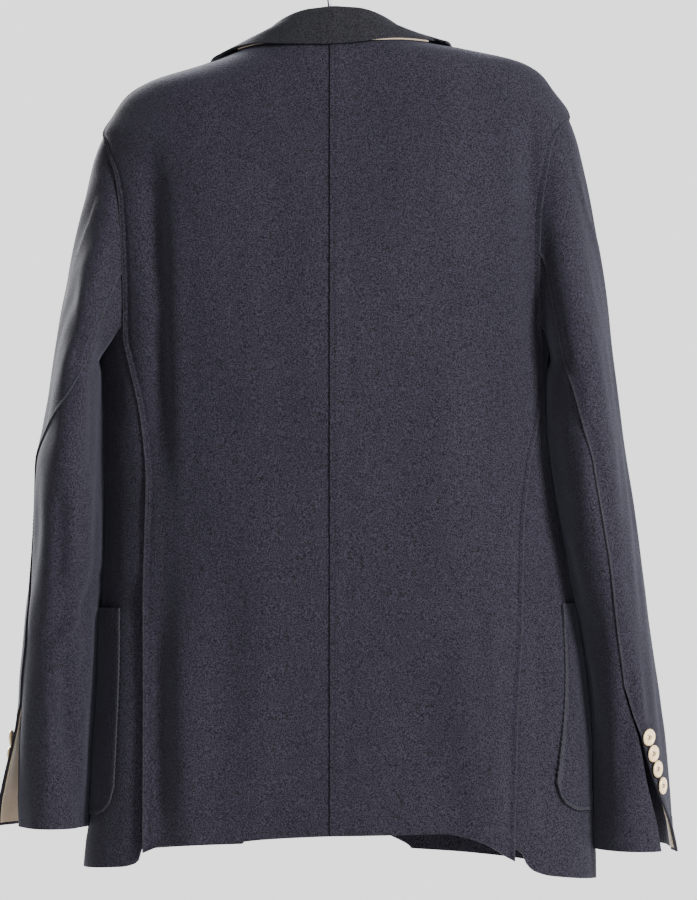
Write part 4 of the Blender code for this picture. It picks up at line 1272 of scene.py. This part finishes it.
def horn_like(name, pale, warm):
    """Cream buttons: satin resin with faint swirls and dirt in the pores."""
    material, tree, shader, places = new_material(name)
    swirl = noise(tree, places, 120.0, 5.0, (1.0, 2.6, 1.0))
    colour = ramp(tree, swirl, (0.30, warm), (0.62, pale))
    pores = ramp(tree, noise(tree, places, 1400.0, 2.0), (0.30, (0.72, 0.66, 0.56)), (0.42, WHITE))
    tree.links.new(blend(tree, "MULTIPLY", colour, pores), shader.inputs["Base Color"])
    gloss(tree, shader, swirl, 0.28, 0.46)
    set_inputs(shader, {"Coat Weight": 0.25, "Coat Roughness": 0.2})
    bump(tree, shader, swirl, 0.0002, 0.2)
    return material


def hard(name, dark, light, roughness, metallic, scale, stretch=None):
    """Moulded plastic or drawn steel, with fine marks and uneven gloss."""
    material, tree, shader, places = new_material(name)
    marks = noise(tree, places, scale, 4.0, stretch)
    tree.links.new(ramp(tree, marks, (0.3, dark), (0.7, light)), shader.inputs["Base Color"])
    gloss(tree, shader, marks, roughness * 0.75, roughness * 1.25)
    shader.inputs["Metallic"].default_value = metallic
    bump(tree, shader, marks, 0.0002, 0.25)
    return material


def soft_light(name, place, aim, size, power):
    light = bpy.data.lights.new(name, "AREA")
    light.shape = "RECTANGLE"
    light.size, light.size_y = size
    light.energy = power
    obj = bpy.data.objects.new(name, light)
    obj.location = place
    obj.rotation_euler = (Vector(aim) - Vector(place)).to_track_quat("-Z", "Y").to_euler()
    bpy.context.scene.collection.objects.link(obj)


def studio():
    """The photograph's camera, a pale world, two soft lights and a pale floor."""
    camera = bpy.data.cameras.new("photo_camera")
    camera.sensor_width = SENSOR
    camera.lens = SENSOR * VIEW_DISTANCE / VIEW_HEIGHT
    obj = bpy.data.objects.new("photo_camera", camera)
    obj.location = (VIEW_CENTRE_X, -VIEW_DISTANCE + VIEW_PLANE, VIEW_CENTRE_Z)
    obj.rotation_euler = (math.radians(90.0), 0.0, 0.0)
    bpy.context.scene.collection.objects.link(obj)
    bpy.context.scene.camera = obj
    world = bpy.data.worlds.new("pale studio")
    world.use_nodes = True
    set_inputs(world.node_tree.nodes["Background"], {"Color": (*WHITE, 1.0), "Strength": WORLD_LIGHT})
    bpy.context.scene.world = world
    for light in LIGHTS:
        soft_light(*light)
    floor_mesh = bpy.data.meshes.new("floor")
    corners = [(x * FLOOR_REACH, y * FLOOR_REACH, FLOOR_Z) for x, y in ((-1, -1), (1, -1), (1, 1), (-1, 1))]
    floor_mesh.from_pydata(corners, [], [(0, 1, 2, 3)])
    floor = bpy.data.objects.new("floor", floor_mesh)
    bpy.context.scene.collection.objects.link(floor)
    floor_mesh.materials.append(hard("pale_floor", *FLOOR_TONES, 0.7, 0.0, 12.0))


NAVY_CLOTH = felted_cloth(
    "navy_felted_cloth", (0.0005, 0.0004, 0.0009), (0.0090, 0.0080, 0.0124), (0.80, 0.80, 0.84)
)
RAW_EDGE = felted_cloth(
    "navy_raw_edge", (0.0015, 0.0015, 0.0022), (0.0120, 0.0115, 0.0150), (0.9, 0.9, 0.9), EDGE_GRAIN
)
# The collar's cloth is the same felted navy with darker colours: painted shade for the collar's fall.
COLLAR_PAINTED_SHADE_CLOTH = felted_cloth(
    "navy_collar_cloth", (0.0007, 0.0007, 0.0010), (0.0062, 0.0061, 0.0078), (0.75, 0.75, 0.78)
)
THREAD_NAVY = felted_cloth(
    "navy_thread", (0.0010, 0.0010, 0.0016), (0.0080, 0.0080, 0.0115), (0.9, 0.9, 0.9), THREAD_GRAIN
)
TAN_CLOTH = twill_cloth("tan_facing_cloth", (0.095, 0.066, 0.042), (0.165, 0.120, 0.080))
TAN_EDGE = twill_cloth("tan_cut_edge", (0.13, 0.10, 0.068), (0.21, 0.17, 0.125))
CREAM = horn_like("cream_button_resin", (0.33, 0.25, 0.135), (0.23, 0.16, 0.075))
HANGER_PLASTIC = hard(
    "black_hanger_plastic", (0.012, 0.012, 0.013), (0.024, 0.024, 0.026), 0.42, 0.0, 300.0
)
HOOK_STEEL = hard(
    "dark_hook_steel", (0.025, 0.025, 0.028), (0.055, 0.055, 0.060), 0.34, 1.0, 500.0, (1.0, 1.0, 0.15)
)
# Each cloth's faces, its cut edges and its slot.
NAVY = (NAVY_CLOTH, RAW_EDGE), "navy_cloth"
TAN = (TAN_CLOTH, TAN_EDGE), "tan_cloth"

for node, material in (("hanger", HANGER_PLASTIC), ("hook", HOOK_STEEL)):
    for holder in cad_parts[node].material_slots:
        holder.material = material

for side, word in SIDE_NAMES.items():
    back, side_cloth, front = f"back_{word}", f"side_{word}", f"front_{word}"
    upper = upper_sleeve(side)
    for name, points, rests_on, raw, sewing in (
        (back, back_panel(side), "hanger", "last", [back_sewing(side)]),
        (side_cloth, side_panel(side), back, "", []),
        (front, front_panel(side), "hanger", "last", [front_sewing(side)]),
        ("lapel_" + word, lapel(side), front, "last top foot", []),
        ("upper_sleeve_" + word, upper, back, "last", [sleeve_sewing(side, upper)]),
        ("under_sleeve_" + word, under_sleeve(side), back, "", []),
        ("pocket_" + word, pocket(side), front, "first last foot", [pocket_sewing(side)]),
    ):
        cloth("cloth_" + name, points, *NAVY, rests_on, raw, with_pieces=sewing)
    strip, rests_on = cuff_facing(side, upper), "upper_sleeve_" + word
    cloth("cloth_cuff_facing_" + word, strip, *TAN, rests_on, thickness=THIN_CLOTH)
    for number in range(1, 5):
        button(f"cuff_button_{word}_{number}", CUFF_BUTTON, BUTTON_THICKNESS, BUTTON_LEAN)

backs = ["back_left", "back_right"]
fall = collar_coarse()
# The collar wears the darker navy copy, which is painted shade.
cloth("cloth_collar", refined(fall, 5, 5), (COLLAR_PAINTED_SHADE_CLOTH, RAW_EDGE), "navy_cloth", backs)
falls = np.stack([fall[:, -2], (fall[:, -2] + fall[:, -1]) / 2, fall[:, -1]], axis=1)
ends = COLLAR_STEPS - UNDERCOLLAR_STEPS
under_fall = (falls - facing(grid_normal(falls), falls) * UNDERCOLLAR_INSET)[ends:-ends]
shows = column(UNDERCOLLAR_EDGE, under_fall[:, -1, 0])
under_fall[:, -1] += unit(under_fall[:, -1] - under_fall[:, 1]) * shows[:, None]
under_fall = refined(under_fall, 5, 4)
cloth("cloth_undercollar", under_fall, *TAN, backs, thickness=THIN_CLOTH)
for number in (1, 2):
    button(f"front_button_{number}", FRONT_BUTTON_DIAMETER, FRONT_BUTTON_THICKNESS, 0.0)

studio()
